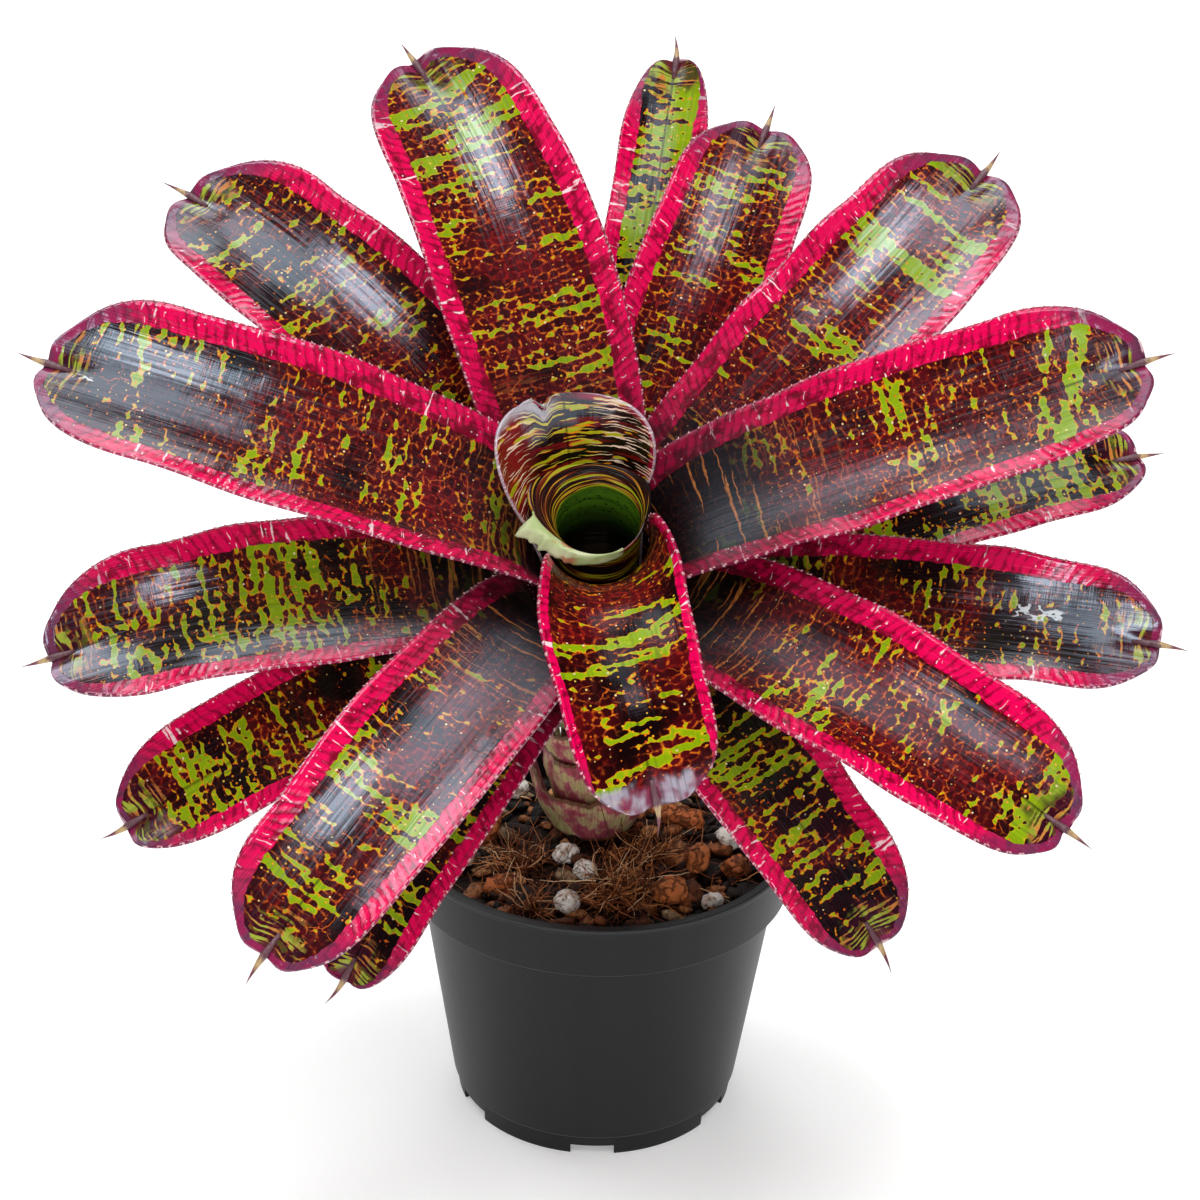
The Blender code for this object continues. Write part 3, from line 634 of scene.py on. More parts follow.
def leaf_material(name, seed):
    """Upper side of a leaf."""
    hood = name == "leaf_02_hood"
    shader = Shader(f"{name}_upper", 0.28, bump=0.0006)
    uv = shader.uv("LeafUV")
    edge, along = shader.parts(shader.uv("LeafShape"))
    place = shader.vector("ADD", uv, (seed * 3.7, seed * 2.3, 0.0))
    across, far = shader.parts(uv)

    ridge = far * (UV_UNIT / TOOTH_SPACING) + edge * 1.3 + shader.noise(place, 12.0) * 1.6
    ridge = shader.math("PINGPONG", ridge, 0.5)
    border = edge + shader.stretched(place, 40.0, 22.0) * 0.12
    if not hood:
        look = LOOKS[name]
        face, reach = leaf_face(shader, uv, place, along, look, BANDS.get(name, ()),
                                OUTER_WARMTH.get(name, 1.0))
        border = border + reach * 0.05
    border = border + shader.step(along, 0.86, 1.0) * 0.56
    limit = margin_width(name) / EDGE_UNIT + 0.06
    margin_mask = shader.step(border, limit + 0.014, limit - 0.014)

    if hood:
        colour = hood_colours(shader, place, across, along, edge)
        # painted highlight: a pale line along the hood's edge
        edge_line_and_glint = (0.480, 0.420, 0.500)
    else:
        root = shader.distance(uv, (0.0, LEAVES[name][2] / UV_UNIT, 0.0))
        face, blot = tip_colours(shader, name, place, root, face)
        colour = shader.mix(margin_mask, face, leaf_margin(shader, place, edge, along, ridge, reach))
        if name == "leaf_03_front":
            # painted sheen: pearly grey on the front leaf's tip
            painted_sheen = shader.mix(shader.step(blot, 0.40, 0.62), (0.200, 0.030, 0.070), (0.380, 0.350, 0.420))
            colour = shader.mix(shader.step(along + blot * 0.08, 0.975, 1.0) * 0.85, colour, painted_sheen)
        dark_end = look[5]
        # near the root the margin is darkened too: its own deeper colour there, with painted shade of the
        # crown's centre
        beyond = shader.step(far, uv_mm(dark_end - 55.0), uv_mm(dark_end + 20.0))
        shaded = shader.mix(margin_mask, colour, shader.darker(colour, 0.30))
        colour = shader.mix(beyond * margin_mask, shaded, colour)
        # the leaf's very edge: a dark purple line, with painted highlights in pale pink at the teeth
        edge_line_and_glint = shader.mix(shader.step(ridge, 0.36, 0.44), DARK_PURPLE, PALE_PINK)
    colour = shader.mix(shader.step(edge, 0.055, 0.030) * 0.6, colour, edge_line_and_glint)
    lines = shader.stretched(uv, 95.0, 2.2, rough=0.6)
    veins = shader.step(lines, 0.48, 0.32) * (0.10 if hood else 0.45)
    colour = shader.mix(veins, colour, shader.darker(colour, 0.25))
    # painted shade: a dark line in the crease along the midrib, on the outer part of the leaf
    crease = shader.step(abs(across), 0.007, 0.002) * 0.6
    colour = shader.mix(crease * shader.step(along, 0.55, 0.80), colour, BLACK_BROWN)
    if name in SCARS:
        colour = shader.mix(scar(shader, uv, SCARS[name]), colour, (0.640, 0.690, 0.700))

    height = lines * 0.13 + shader.stretched(uv, 7.0, 150.0) * 0.05
    height = height + shader.noise(place, 9.0) * 0.4 + shader.stretched(uv, 15.0, 0.8) * 0.35
    height = height + ridge * margin_mask * 0.3
    fine = shader.stretched(uv, 210.0, 1.4, detail=1.0)
    dull = shader.greater(shader.step(lines, 0.46, 0.36), shader.step(fine, 0.44, 0.34))
    roughness = 0.14 + dull * (0.10 if hood else 0.16)
    if not hood:
        roughness = roughness + (1.0 - beyond) * 0.30
    shader.put(shader.surface.inputs["Roughness"], roughness)
    shine = SHEEN.get(name, 0.90)
    return shader.finish(colour, height, Specular_IOR_Level=shine, Specular_Tint=(0.68, 0.82, 1.0, 1.0))


def lip_colour(shader, wavy):
    """Thin broken arcs of lime and gold on black-brown."""
    arcs = shader.stretched(wavy, 2.6, 52.0)
    arcs = arcs + shader.stretched(wavy, 4.0, 20.0, detail=1.0) * 0.35
    return shader.ramp(arcs, ((0.66, (0.010, 0.004, 0.004)), (0.71, (0.180, 0.018, 0.006)),
                              (0.75, (0.600, 0.330, 0.020)), (0.80, (0.330, 0.460, 0.012)))), arcs


def cup_material():
    """Inside of the water cup: green wall, darker downwards as painted shade, and broken arcs on its lip.
    """
    shader = Shader("cup_wall", 0.22, bump=0.0005)
    uv = shader.uv("LeafUV")
    _, depth = shader.parts(uv)
    wavy = shader.warped(uv, 9.0, 0.025)
    rings = shader.stretched(wavy, 2.2, 30.0)
    wall = shader.mix(shader.step(rings, 0.35, 0.65), (0.050, 0.130, 0.010), (0.110, 0.260, 0.014))
    specks = shader.cells(shader.scaled(uv, 22.0, 30.0))
    wall = shader.mix(shader.step(specks, 0.13, 0.09), wall, (0.006, 0.012, 0.004))
    # painted shade: the wall darkens to near black down inside the cup
    wall = shader.mix(shader.step(depth, 0.14, 0.38), (0.0015, 0.002, 0.001), wall)
    lip, arcs = lip_colour(shader, wavy)
    colour = shader.mix(shader.step(depth + arcs * 0.06, 0.440, 0.455), wall, lip)
    return shader.finish(colour, rings, Specular_IOR_Level=0.6)


def cup_outside_material():
    """Outside of the innermost leaf: black-brown with thin orange and lime arcs."""
    shader = Shader("cup_outside", 0.30, bump=0.0004)
    colour, arcs = lip_colour(shader, shader.warped(shader.uv("LeafUV"), 9.0, 0.020))
    return shader.finish(colour, arcs)


def flap_material():
    """Torn pale flap at the mouth of the cup."""
    shader = Shader("cup_flap", 0.36, bump=0.0004)
    uv = shader.uv("LeafUV")
    streaks = shader.stretched(uv, 9.0, 16.0, detail=3.0)
    along, _ = shader.parts(uv)
    stain = shader.step(shader.stretched(uv, 14.0, 30.0), 0.50, 0.62)
    stain = stain * shader.step(abs(along - 0.12), 0.05, 0.02)
    colour = shader.mix(shader.step(streaks, 0.30, 0.70), (0.330, 0.430, 0.150), (0.660, 0.680, 0.440))
    colour = shader.mix(stain * 0.8, colour, (0.480, 0.090, 0.050))
    return shader.finish(colour, streaks)


def under_material():
    """Underside of a leaf: dull maroon and green with pale cross-bands of scurf."""
    shader = Shader("leaf_underside", 0.50, bump=0.0004)
    uv = shader.uv("LeafUV")
    warped = shader.warped(uv, 9.0, 0.06)
    bands = shader.stretched(warped, 1.6, 13.0, detail=3.0)
    lines = shader.stretched(uv, 120.0, 4.0)
    ground = shader.mix(shader.step(bands, 0.42, 0.58), (0.060, 0.012, 0.022), (0.120, 0.160, 0.040))
    scurf = shader.step(bands, 0.50, 0.62) * shader.step(lines, 0.35, 0.60)
    colour = shader.mix(scurf * 0.45, ground, (0.420, 0.420, 0.360))
    edge, _ = shader.parts(shader.uv("LeafShape"))
    colour = shader.mix(shader.step(edge, 0.85, 0.70), colour, (0.300, 0.010, 0.060))
    return shader.finish(colour, lines)


def tooth_material():
    """Pale horny teeth along the margins."""
    shader = Shader("leaf_teeth", 0.40)
    colour = shader.mix(shader.noise(shader.place(), 300.0), (0.42, 0.05, 0.10), (0.85, 0.55, 0.55))
    return shader.finish(colour)


def spine_material():
    """Straw-coloured at the root, dark purple to the point. The UV's second part runs along it."""
    shader = Shader("leaf_spines", 0.35, bump=0.0003)
    _, along = shader.parts(shader.uv("LeafUV"))
    grain = shader.noise(shader.scaled(shader.place(), 900.0, 900.0, 250.0))
    reach = along + grain * 0.25
    keel = shader.mix(grain, (0.050, 0.012, 0.022), (0.190, 0.090, 0.110))
    straw = shader.mix(grain, (0.260, 0.130, 0.070), (0.560, 0.420, 0.200))
    dark = shader.mix(grain, (0.070, 0.012, 0.022), (0.230, 0.070, 0.090))
    colour = shader.mix(shader.step(reach, 0.38, 0.52), keel, straw)
    return shader.finish(shader.mix(shader.step(reach, 0.62, 0.78), colour, dark), grain)


# ---------------------------------------------------------------- leaf shapes
def leaf_distances(length):
    """Distances of the rows from the joint, closer together round the tip."""
    blade = np.linspace(0.0, 1.0 - TIP_SHARE, BLADE_ROWS)
    turn = np.linspace(0.0, math.pi / 2.0, TIP_ROWS + 1)[1:]
    return length * np.concatenate([blade, 1.0 - TIP_SHARE + TIP_SHARE * np.sin(turn)])


def leaf_midrib(index, leaf, distance):
    """Midrib points, directions and blade share at the given distances."""
    azimuth, sheath_radius, length, _, blade_up, tip_up, sweep, _ = leaf
    joint_radius = INNER_JOINT_RADIUS + index * JOINT_STEP
    flare_length = (sheath_radius - joint_radius) / FLARE_SLOPE
    sheath = JOINT_ELEVATION + (SHEATH_ELEVATION - JOINT_ELEVATION) * smoothstep(distance / flare_length)
    beyond = np.clip((distance - NECK_DISTANCE) / max(length - NECK_DISTANCE, NECK_BEND), 0.0, 1.0)
    blade = blade_up + (tip_up - blade_up) * beyond ** 1.3
    share = smoothstep((distance - NECK_DISTANCE + NECK_BEND) / (2.0 * NECK_BEND))
    elevation = np.radians(sheath * (1.0 - share) + blade * share)
    heading = np.radians(azimuth + sweep * (distance / length) ** 2)
    along = np.stack([np.cos(elevation) * np.cos(heading), np.cos(elevation) * np.sin(heading),
                      np.sin(elevation)], axis=-1)
    facing = math.radians(azimuth)
    start = np.array([joint_radius * math.cos(facing), joint_radius * math.sin(facing),
                      TOP_JOINT_HEIGHT - index * LEAF_PITCH])
    steps = 0.5 * (along[1:] + along[:-1]) * np.diff(distance)[:, None]
    points = np.vstack([start, start + np.cumsum(steps, axis=0)])
    side = np.stack([-np.sin(heading), np.cos(heading), np.zeros_like(heading)], axis=-1)
    inward = np.stack([-np.cos(heading), -np.sin(heading), np.zeros_like(heading)], axis=-1)
    tilted = smoothstep(2.0 * share)[:, None]
    normal = (1.0 - tilted) * inward + tilted * np.cross(along, side)
    normal /= np.linalg.norm(normal, axis=1)[:, None]
    return points, along, side, normal, share


def leaf_half_width(leaf, distance, radius):
    """Half the leaf's width along its midrib."""
    length, width = leaf[2], leaf[3]
    widening = max(FULL_WIDTH_AT * length - NECK_DISTANCE, NECK_BEND)
    spread = np.clip((distance - NECK_DISTANCE) / widening, 0.0, 1.5)
    body = NECK_WIDTH + (1.0 - NECK_WIDTH) * np.sin(spread * math.pi / 2.0)
    ending = np.clip((distance / length - 1.0 + TIP_SHARE) / TIP_SHARE, 0.0, 1.0)
    half = 0.5 * width * body * np.sqrt(np.maximum(1.0 - ending ** TIP_POWER, 0.0))
    wrap = 1.35 + 1.45 * smoothstep(distance / (0.5 * NECK_DISTANCE))
    return np.minimum(half, wrap * radius)


def edge_distances(arc, distance, left, right):
    """Distance of each grid point from the leaf's outline, laid flat."""
    rim = np.concatenate([np.stack([left, distance], -1), np.stack([-right, distance], -1)])
    flat = np.stack([arc, np.broadcast_to(distance[:, None], arc.shape)], -1)
    gap = np.linalg.norm(flat[:, :, None, :] - rim[None, None, :, :], axis=-1)
    return gap.min(axis=2)


def leaf_grid(index, name, rng):
    """Surface points, distances, arcs and edge distances of one leaf."""
    leaf = LEAVES[name]
    length, hollow = leaf[2], leaf[7]
    distance = leaf_distances(length)
    points, along, side, normal, share = leaf_midrib(index, leaf, distance)
    radius = np.hypot(points[:, 0], points[:, 1])
    half = leaf_half_width(leaf, distance, radius)
    across = np.linspace(-1.0, 1.0, LEAF_COLUMNS + 1)[None, :]
    arc = half[:, None] * across
    wider = 0.0 * distance
    if name == "leaf_03_front":
        share = smoothstep((distance - FRONT_OPENS_AT) / FRONT_OPENING)
        radius = np.minimum(radius, FRONT_RADIUS)
        wider = FRONT_SHOULDER * smoothstep((distance - SHOULDER_SPAN[0]) / SHOULDER_RISE)
        wider = wider * smoothstep((SHOULDER_SPAN[1] - distance) / SHOULDER_FALL)
        arc = arc + wider[:, None] * np.maximum(across, 0.0) ** 2
    bend = ((1.0 - share) / radius + share / hollow)[:, None]
    edge = edge_distances(arc, distance, half + wider, half)

    out = np.sin(bend * arc) / bend
    lift = (1.0 - np.cos(bend * arc)) / bend
    blade = share[:, None] * smoothstep((distance - NECK_DISTANCE) / 0.04)[:, None]
    for _ in range(RIPPLES):
        wave = rng.uniform(*RIPPLE_LENGTHS)
        phase = rng.uniform(0.0, 2.0 * math.pi, 2)
        turns = 2 * math.pi * distance[:, None] / wave
        swing = np.where(across < 0, np.sin(turns + phase[0]), np.sin(turns + phase[1]))
        lift = lift + blade * RIPPLE * np.abs(across) ** 3 * swing
    ending = smoothstep((distance - length + TIP_ZONE) / TIP_ZONE)[:, None]
    if name == "leaf_02_hood":
        torn = 0.5 * MM * np.sin(arc * TORN_WAVES) * bell(arc, TORN_AT, TORN_SPREAD)
        push = -ending * (NOTCH_DEPTH * bell(arc, NOTCH_AT, NOTCH_SPREAD) + torn)
    else:
        push = TIP_LOBE * ending * bell(np.abs(arc), LOBE_AT, LOBE_SPREAD)
        lift = lift - TIP_PINCH * ending * bell(arc, 0.0, PINCH_SPREAD)
    surface = (points[:, None, :] + out[..., None] * side[:, None, :] + lift[..., None] * normal[:, None, :]
               + push[..., None] * along[:, None, :])
    return surface, distance, arc, edge


def tooth_mesh(surface, distance, length):
    """Vertices and faces of the small teeth along both margins."""
    points, faces = [], []
    spots = np.arange(FIRST_TOOTH, length - 0.006, TOOTH_SPACING)
    for column, inner in ((0, 1), (LEAF_COLUMNS, LEAF_COLUMNS - 1)):
        rim, inside = surface[:, column], surface[:, inner]
        for spot in spots:
            row = int(np.searchsorted(distance, spot))
            share = (spot - distance[row - 1]) / (distance[row] - distance[row - 1])
            centre = rim[row - 1] + share * (rim[row] - rim[row - 1])
            forward = rim[row] - rim[row - 1]
            forward = forward / np.linalg.norm(forward)
            outward = rim[row] - inside[row]
            outward = outward - forward * np.dot(outward, forward)
            outward = outward / np.linalg.norm(outward)
            up = np.cross(forward, outward)
            first = len(points)
            root = centre - TOOTH_DEPTH * outward
            points += [root - TOOTH_BEHIND * forward, root + TOOTH_AHEAD * forward,
                       root + TOOTH_DEPTH * up, root - TOOTH_DEPTH * up,
                       centre + TOOTH_REACH * outward + TOOTH_AHEAD * forward]
            faces += [(first, first + 2, first + 4), (first + 2, first + 1, first + 4),
                      (first + 1, first + 3, first + 4), (first + 3, first, first + 4),
                      (first, first + 3, first + 1, first + 2)]
    return points, faces


def spine_mesh(path, up, side):
    """A thorn along a path that starts as a keel on the blade. Returns points, faces and shares."""
    sides = SPINE_SIDES
    points, shares = [], []
    for place, centre in enumerate(path):
        share = place / (len(path) - 1)
        radius = SPINE_RADIUS * (1.0 - share) ** 1.15 * min(1.0, 0.35 + 3.0 * share) + 0.05 * MM
        for corner in range(sides):
            angle = 2.0 * math.pi * corner / sides
            points.append(centre + radius * (math.cos(angle) * side + 0.75 * math.sin(angle) * up))
            shares.append(share)
    faces = [tuple(range(sides))[::-1]]
    for ring in range(len(path) - 1):
        for corner in range(sides):
            after = (corner + 1) % sides
            low, high = ring * sides, (ring + 1) * sides
            faces.append((low + corner, low + after, high + after, high + corner))
    faces.append(tuple(range((len(path) - 1) * sides, len(path) * sides)))
    return points, faces, shares


def make_spine(surface, distance, length, rng):
    """Points, faces and shares of a leaf's end spine."""
    middle = LEAF_COLUMNS // 2
    first = int(np.searchsorted(distance, length - SPINE_KEEL))
    keel = surface[first:, middle]
    along = keel[-1] - keel[-5]
    along = along / np.linalg.norm(along)
    side = surface[first, middle + 4] - surface[first, middle - 4]
    side = side / np.linalg.norm(side)
    up = np.cross(along, side)
    lift = 0.9 * MM * np.sin(np.linspace(0.0, math.pi * 0.6, len(keel)))
    keel = keel + lift[:, None] * up
    bend, yaw = rng.uniform(-0.05, 0.30), rng.uniform(-0.25, 0.25)
    free = []
    for share in np.linspace(0.1, 1.0, 10):
        reach = share * SPINE_LENGTH
        free.append(keel[-1] + reach * along + share * reach * (bend * up + yaw * side))
    return spine_mesh(list(keel[::3]) + free, up, side)


def make_leaf(index, name, materials):
    """A leaf, its teeth and its spine, one piece each. The hood has no spine."""
    rng = np.random.default_rng(100 + index)
    surface, distance, arc, edge = leaf_grid(index, name, rng)
    rows, columns = arc.shape
    mesh = mesh_from(name, surface.reshape(-1, 3), grid_faces(rows, columns))
    far = np.broadcast_to(distance[:, None], arc.shape)
    set_uv(mesh, "LeafUV", np.stack([arc.ravel() / UV_UNIT, far.ravel() / UV_UNIT], -1))
    set_uv(mesh, "LeafShape", np.stack([edge.ravel() / EDGE_UNIT, far.ravel() / LEAVES[name][2]], -1))
    mesh.materials.append(leaf_material(name, index + 1))
    piece = add_piece(f"{name}_blade", mesh, materials["under"], [name], AT_CROWN)
    thicken(piece, LEAF_THICKNESS, inner_slot=1)

    length = LEAVES[name][2]
    points, faces = tooth_mesh(surface, distance, length)
    add_piece(f"{name}_teeth", mesh_from("teeth", points, faces), materials["teeth"], [], AT_CROWN)
    if name != "leaf_02_hood":
        points, faces, shares = make_spine(surface, distance, length, rng)
        spine = mesh_from("spine", points, faces)
        set_uv(spine, "LeafUV", [(0.5, share) for share in shares])
        add_piece(f"{name}_spine", spine, materials["spine"], [], AT_CROWN)


# ---------------------------------------------------------------- water cup
CUP_PROFILE = ((0.0100, 0.0740), (0.0122, 0.0900), (0.0134, 0.1040), (0.0140, 0.1140), (0.0142, 0.1195))
CUP_SIDES = 120
CUP_ROWS = 48
LIP_DIRECTION = 105.0        # the lip runs up inside the hood here
LIP_RISE = 0.0078
LIP_FLARE = 0.0074
LIP_LEAN = 0.0024            # more flare on its left and less on its right
LIP_RIGHT = 10.0             # direction of its right
FLAP = (186.0, 304.0, 0.0080)     # first and last direction, width
FLAP_THICKNESS = 0.0005


def lip_share(angle):
    """How far the cup's lip runs up in a direction, 0 to 1."""
    return float(smoothstep(0.5 + 0.75 * math.cos(angle - math.radians(LIP_DIRECTION))))


def cup_point(angle, share):
    """Point of the cup's wall, from its bottom to its rim."""
    lip = lip_share(angle)
    flare = lip * (LIP_FLARE - LIP_LEAN * math.cos(angle - math.radians(LIP_RIGHT)))
    profile = [Vector(place) for place in CUP_PROFILE]
    radius, height = profile[-1]
    profile.append(Vector((radius + 0.0003 + 0.35 * flare, height + 0.0012 + 0.50 * lip * LIP_RISE)))
    profile.append(Vector((radius + 0.0006 + flare, height + 0.0020 + lip * LIP_RISE)))
    place = share * (len(profile) - 1)
    first = min(int(place), len(profile) - 2)
    radius, height = profile[first].lerp(profile[first + 1], place - first)
    radius += 0.4 * MM * noise.noise(Vector((2.0 * math.cos(angle), 2.0 * math.sin(angle), 30.0 * height)))
    return Vector((radius * math.cos(angle), radius * math.sin(angle), height))


def make_cup():
    """The rolled innermost leaf that holds the water, with its lip."""
    points, uvs = [], []
    for row in range(CUP_ROWS + 1):
        share = row / CUP_ROWS
        for side in range(CUP_SIDES + 1):
            angle = 2.0 * math.pi * side / CUP_SIDES
            points.append(cup_point(angle, share))
            uvs.append((0.014 * angle / UV_UNIT, share * 0.62))
    mesh = mesh_from("cup", points, grid_faces(CUP_ROWS + 1, CUP_SIDES + 1))
    set_uv(mesh, "LeafUV", uvs)
    mesh.materials.append(cup_material())
    piece = add_piece("leaf_01_cup", mesh, cup_outside_material(), ["leaf_01_tube"], AT_CROWN)
    thicken(piece, LEAF_THICKNESS, inner_slot=1)


def make_flap():
    """A torn flap at the mouth of the cup."""
    first, last, width = FLAP
    rows, columns = 14, 90
    points, uvs = [], []
    for row in range(rows + 1):
        out = row / rows
        for column in range(columns + 1):
            share = column / columns
            angle = math.radians(first + share * (last - first))
            rim = cup_point(angle, 1.0)
            outward = Vector((math.cos(angle), math.sin(angle), 0.0))
            torn = noise.noise(Vector((share * 6.0, 3.0, 0.0)))
            torn += 0.9 * noise.noise(Vector((share * 24.0, 9.0, 0.0)))
            taper = float(smoothstep(share / 0.10)) * (1.0 - share) ** 1.15
            reach = 0.0004 + width * taper * (1.0 + 0.9 * torn * (1.0 - share) ** 3)
            crimp = 1.6 * MM * noise.noise(Vector((share * 7.0, out * 2.0, 5.0))) * out * (1.0 - share)
            lift = 0.0003 + crimp + 0.0012 * math.sin(math.pi * out) - 0.0028 * out * out
            points.append(rim + outward * (reach * out + 0.0003) + Vector((0.0, 0.0, lift)))
            uvs.append((share * 0.3, out * 0.06))
    mesh = mesh_from("flap", points, grid_faces(rows + 1, columns + 1))
    set_uv(mesh, "LeafUV", uvs)
    piece = add_piece("leaf_01_flap", mesh, flap_material(), [], AT_CROWN)
    thicken(piece, FLAP_THICKNESS)


def make_rosette():
    """All the leaves."""
    materials = {"under": under_material(), "teeth": tooth_material(), "spine": spine_material()}
    make_cup()
    make_flap()
    for index, name in enumerate(LEAVES):
        if name != "leaf_01_tube":
            make_leaf(index, name, materials)


# ---------------------------------------------------------------- pot
POT_HEIGHT = 0.1130
RIM_RADIUS = 0.0750
RIM_WIDTH = 0.0040
BAND_FOOT = 0.0924
BAND_RADIUS = 0.0727
WALL_TOP_RADIUS = 0.0680
WALL_FOOT_RADIUS = 0.0556
WALL_THICKNESS = 0.0018
FOOT_RADIUS = 0.0536
FOOT_HEIGHT = 0.0088
FLOOR_RECESS = 0.0015
FLOOR_TOP = 0.0035
DRAIN_SLOTS = 6
SLOT_SIZE = (0.0180, 0.0165, 0.0080)
POT_SIDES = 192


def wall_radius(height):
    """Outside of the tapered wall."""
    widening = (WALL_TOP_RADIUS - WALL_FOOT_RADIUS) * (height - FOOT_HEIGHT)
    return WALL_FOOT_RADIUS + widening / (BAND_FOOT - FOOT_HEIGHT)


def rounded(profile, reach, steps=4):
    """A profile whose inner corners are rounded."""
    points = [profile[0]]
    for before, corner, after in zip(profile, profile[1:], profile[2:]):
        corner = Vector(corner)
        back, ahead = Vector(before) - corner, Vector(after) - corner
        start = corner + back.normalized() * min(reach, 0.4 * back.length)
        end = corner + ahead.normalized() * min(reach, 0.4 * ahead.length)
        for step in range(steps + 1):
            share = step / steps
            points.append(tuple(start.lerp(corner, share).lerp(corner.lerp(end, share), share)))
    return points + [profile[-1]]


def turned(name, profile, sides):
    """A closed body turned round the Z axis from a profile that starts and ends on it."""
    body = bmesh.new()
    rings = []
    for radius, height in profile:
        if radius < 1e-6:
            rings.append([body.verts.new((0.0, 0.0, height))])
            continue
        angles = [2.0 * math.pi * side / sides for side in range(sides)]
        rings.append([body.verts.new((radius * math.cos(a), radius * math.sin(a), height)) for a in angles])
    for low, high in zip(rings, rings[1:]):
        for side in range(sides):
            after = (side + 1) % sides
            places = ((low, side), (low, after), (high, after), (high, side))
            corners = [ring[place % len(ring)] for ring, place in places]
            body.faces.new(list(dict.fromkeys(corners)))
    bmesh.ops.recalc_face_normals(body, faces=body.faces)
    mesh = bpy.data.meshes.new(name)
    body.to_mesh(mesh)
    body.free()
    return mesh


def pot_material():
    """Charcoal moulded plastic with a fine grain, faint drags, and painted highlights along its edges."""
    shader = Shader("pot_plastic", 0.42, bump=0.00010)
    place = shader.place()
    grain = shader.noise(place, 1600.0)
    haze = shader.noise(shader.scaled(place, 60.0, 60.0, 14.0), detail=3.0)
    colour = shader.mix(haze, (0.0060, 0.0064, 0.0074), (0.0105, 0.0112, 0.0125))
    node = shader.tree.nodes.new("ShaderNodeSeparateXYZ")
    shader.put(node.inputs[0], place)
    height = Value(shader, node.outputs["Z"])
    # painted highlights: thin lighter lines at the rim's top edge, the collar's foot and the foot seam
    for edge, reach in ((POT_HEIGHT - 0.0006, 0.0007), (BAND_FOOT, 0.0005), (FOOT_HEIGHT, 0.0004)):
        off = abs(height - (edge + AT_POT.translation.z))
        colour = shader.mix(shader.step(off, reach, 0.4 * reach) * 0.5, colour, (0.070, 0.072, 0.076))
    return shader.finish(colour, grain, Specular_IOR_Level=0.20)


def cut_slot(pot, angle):
    """Cut a drain slot through the foot of the pot."""
    cutter_mesh = bpy.data.meshes.new("drain_slot")
    cutter = bmesh.new()
    place = Vector((FOOT_RADIUS * math.cos(angle), FOOT_RADIUS * math.sin(angle), 0.0))
    bmesh.ops.create_cube(cutter, size=1.0)
    bmesh.ops.scale(cutter, vec=SLOT_SIZE, verts=cutter.verts)
    bmesh.ops.rotate(cutter, matrix=Matrix.Rotation(angle, 3, "Z"), verts=cutter.verts)
    bmesh.ops.translate(cutter, vec=place, verts=cutter.verts)
    bmesh.ops.transform(cutter, matrix=AT_POT, verts=cutter.verts)
    cutter.to_mesh(cutter_mesh)
    cutter.free()
    slot = bpy.data.objects.new("drain_slot", cutter_mesh)
    bpy.context.scene.collection.objects.link(slot)
    cut = pot.modifiers.new("drain_slot", "BOOLEAN")
    cut.operation = "DIFFERENCE"
    cut.solver = "EXACT"
    cut.object = slot
    bpy.context.view_layer.objects.active = pot
    bpy.ops.object.modifier_apply(modifier=cut.name)
    bpy.data.objects.remove(slot)


def make_pot():
    """Nursery pot with a collar, a foot ring and drain slots."""
    foot_inside = FOOT_RADIUS - WALL_THICKNESS
    inside_top = RIM_RADIUS - RIM_WIDTH
    inner_band = wall_radius(BAND_FOOT) - WALL_THICKNESS
    profile = [
        (0.0, FLOOR_RECESS), (0.0200, FLOOR_RECESS), (0.0210, FLOOR_RECESS + 0.0006),
        (0.0225, FLOOR_RECESS + 0.0006), (0.0235, FLOOR_RECESS), (foot_inside - 0.0004, FLOOR_RECESS),
        (foot_inside, 0.0), (FOOT_RADIUS, 0.0), (FOOT_RADIUS + 0.0004, FOOT_HEIGHT - 0.0008),
        (WALL_FOOT_RADIUS, FOOT_HEIGHT), (WALL_TOP_RADIUS, BAND_FOOT), (BAND_RADIUS, BAND_FOOT),
        (RIM_RADIUS - 0.0006, POT_HEIGHT - 0.0022), (RIM_RADIUS, POT_HEIGHT - 0.0014),
        (RIM_RADIUS - 0.0004, POT_HEIGHT), (inside_top, POT_HEIGHT),
        (inside_top - 0.0006, BAND_FOOT + 0.0020), (inner_band, BAND_FOOT),
        (wall_radius(FOOT_HEIGHT) - WALL_THICKNESS, FOOT_HEIGHT), (foot_inside, FLOOR_TOP),
        (0.0, FLOOR_TOP),
    ]
    mesh = turned("pot", rounded(profile, 0.0006), POT_SIDES)
    pot = add_piece("pot_body", mesh, pot_material(), ["pot"])
    mesh.set_sharp_from_angle(angle=math.radians(50.0))
    for index in range(DRAIN_SLOTS):
        angle = -math.pi / 2.0 + 2.0 * math.pi * index / DRAIN_SLOTS
        cut_slot(pot, angle)


# ---------------------------------------------------------------- potting mix
MIX_EDGE_HEIGHT = 0.0985
MIX_CROWN = 0.0045
MIX_RADIUS = 0.0665
CHIP_COUNT = 460
SMALL_CHIPS = 0.8            # share of small ones
SMALL_CHIP = (0.0035, 0.0090)      # least and greatest length
LARGE_CHIP = (0.0095, 0.0150)
LOOSE_FIBRES = 260
FIBRE_RADIUS = (0.00014, 0.00040)  # least and greatest


def mix_height(x, y):
    """Top of the potting mix: a low dome."""
    return MIX_EDGE_HEIGHT + MIX_CROWN * (1.0 - (math.hypot(x, y) / MIX_RADIUS) ** 2)


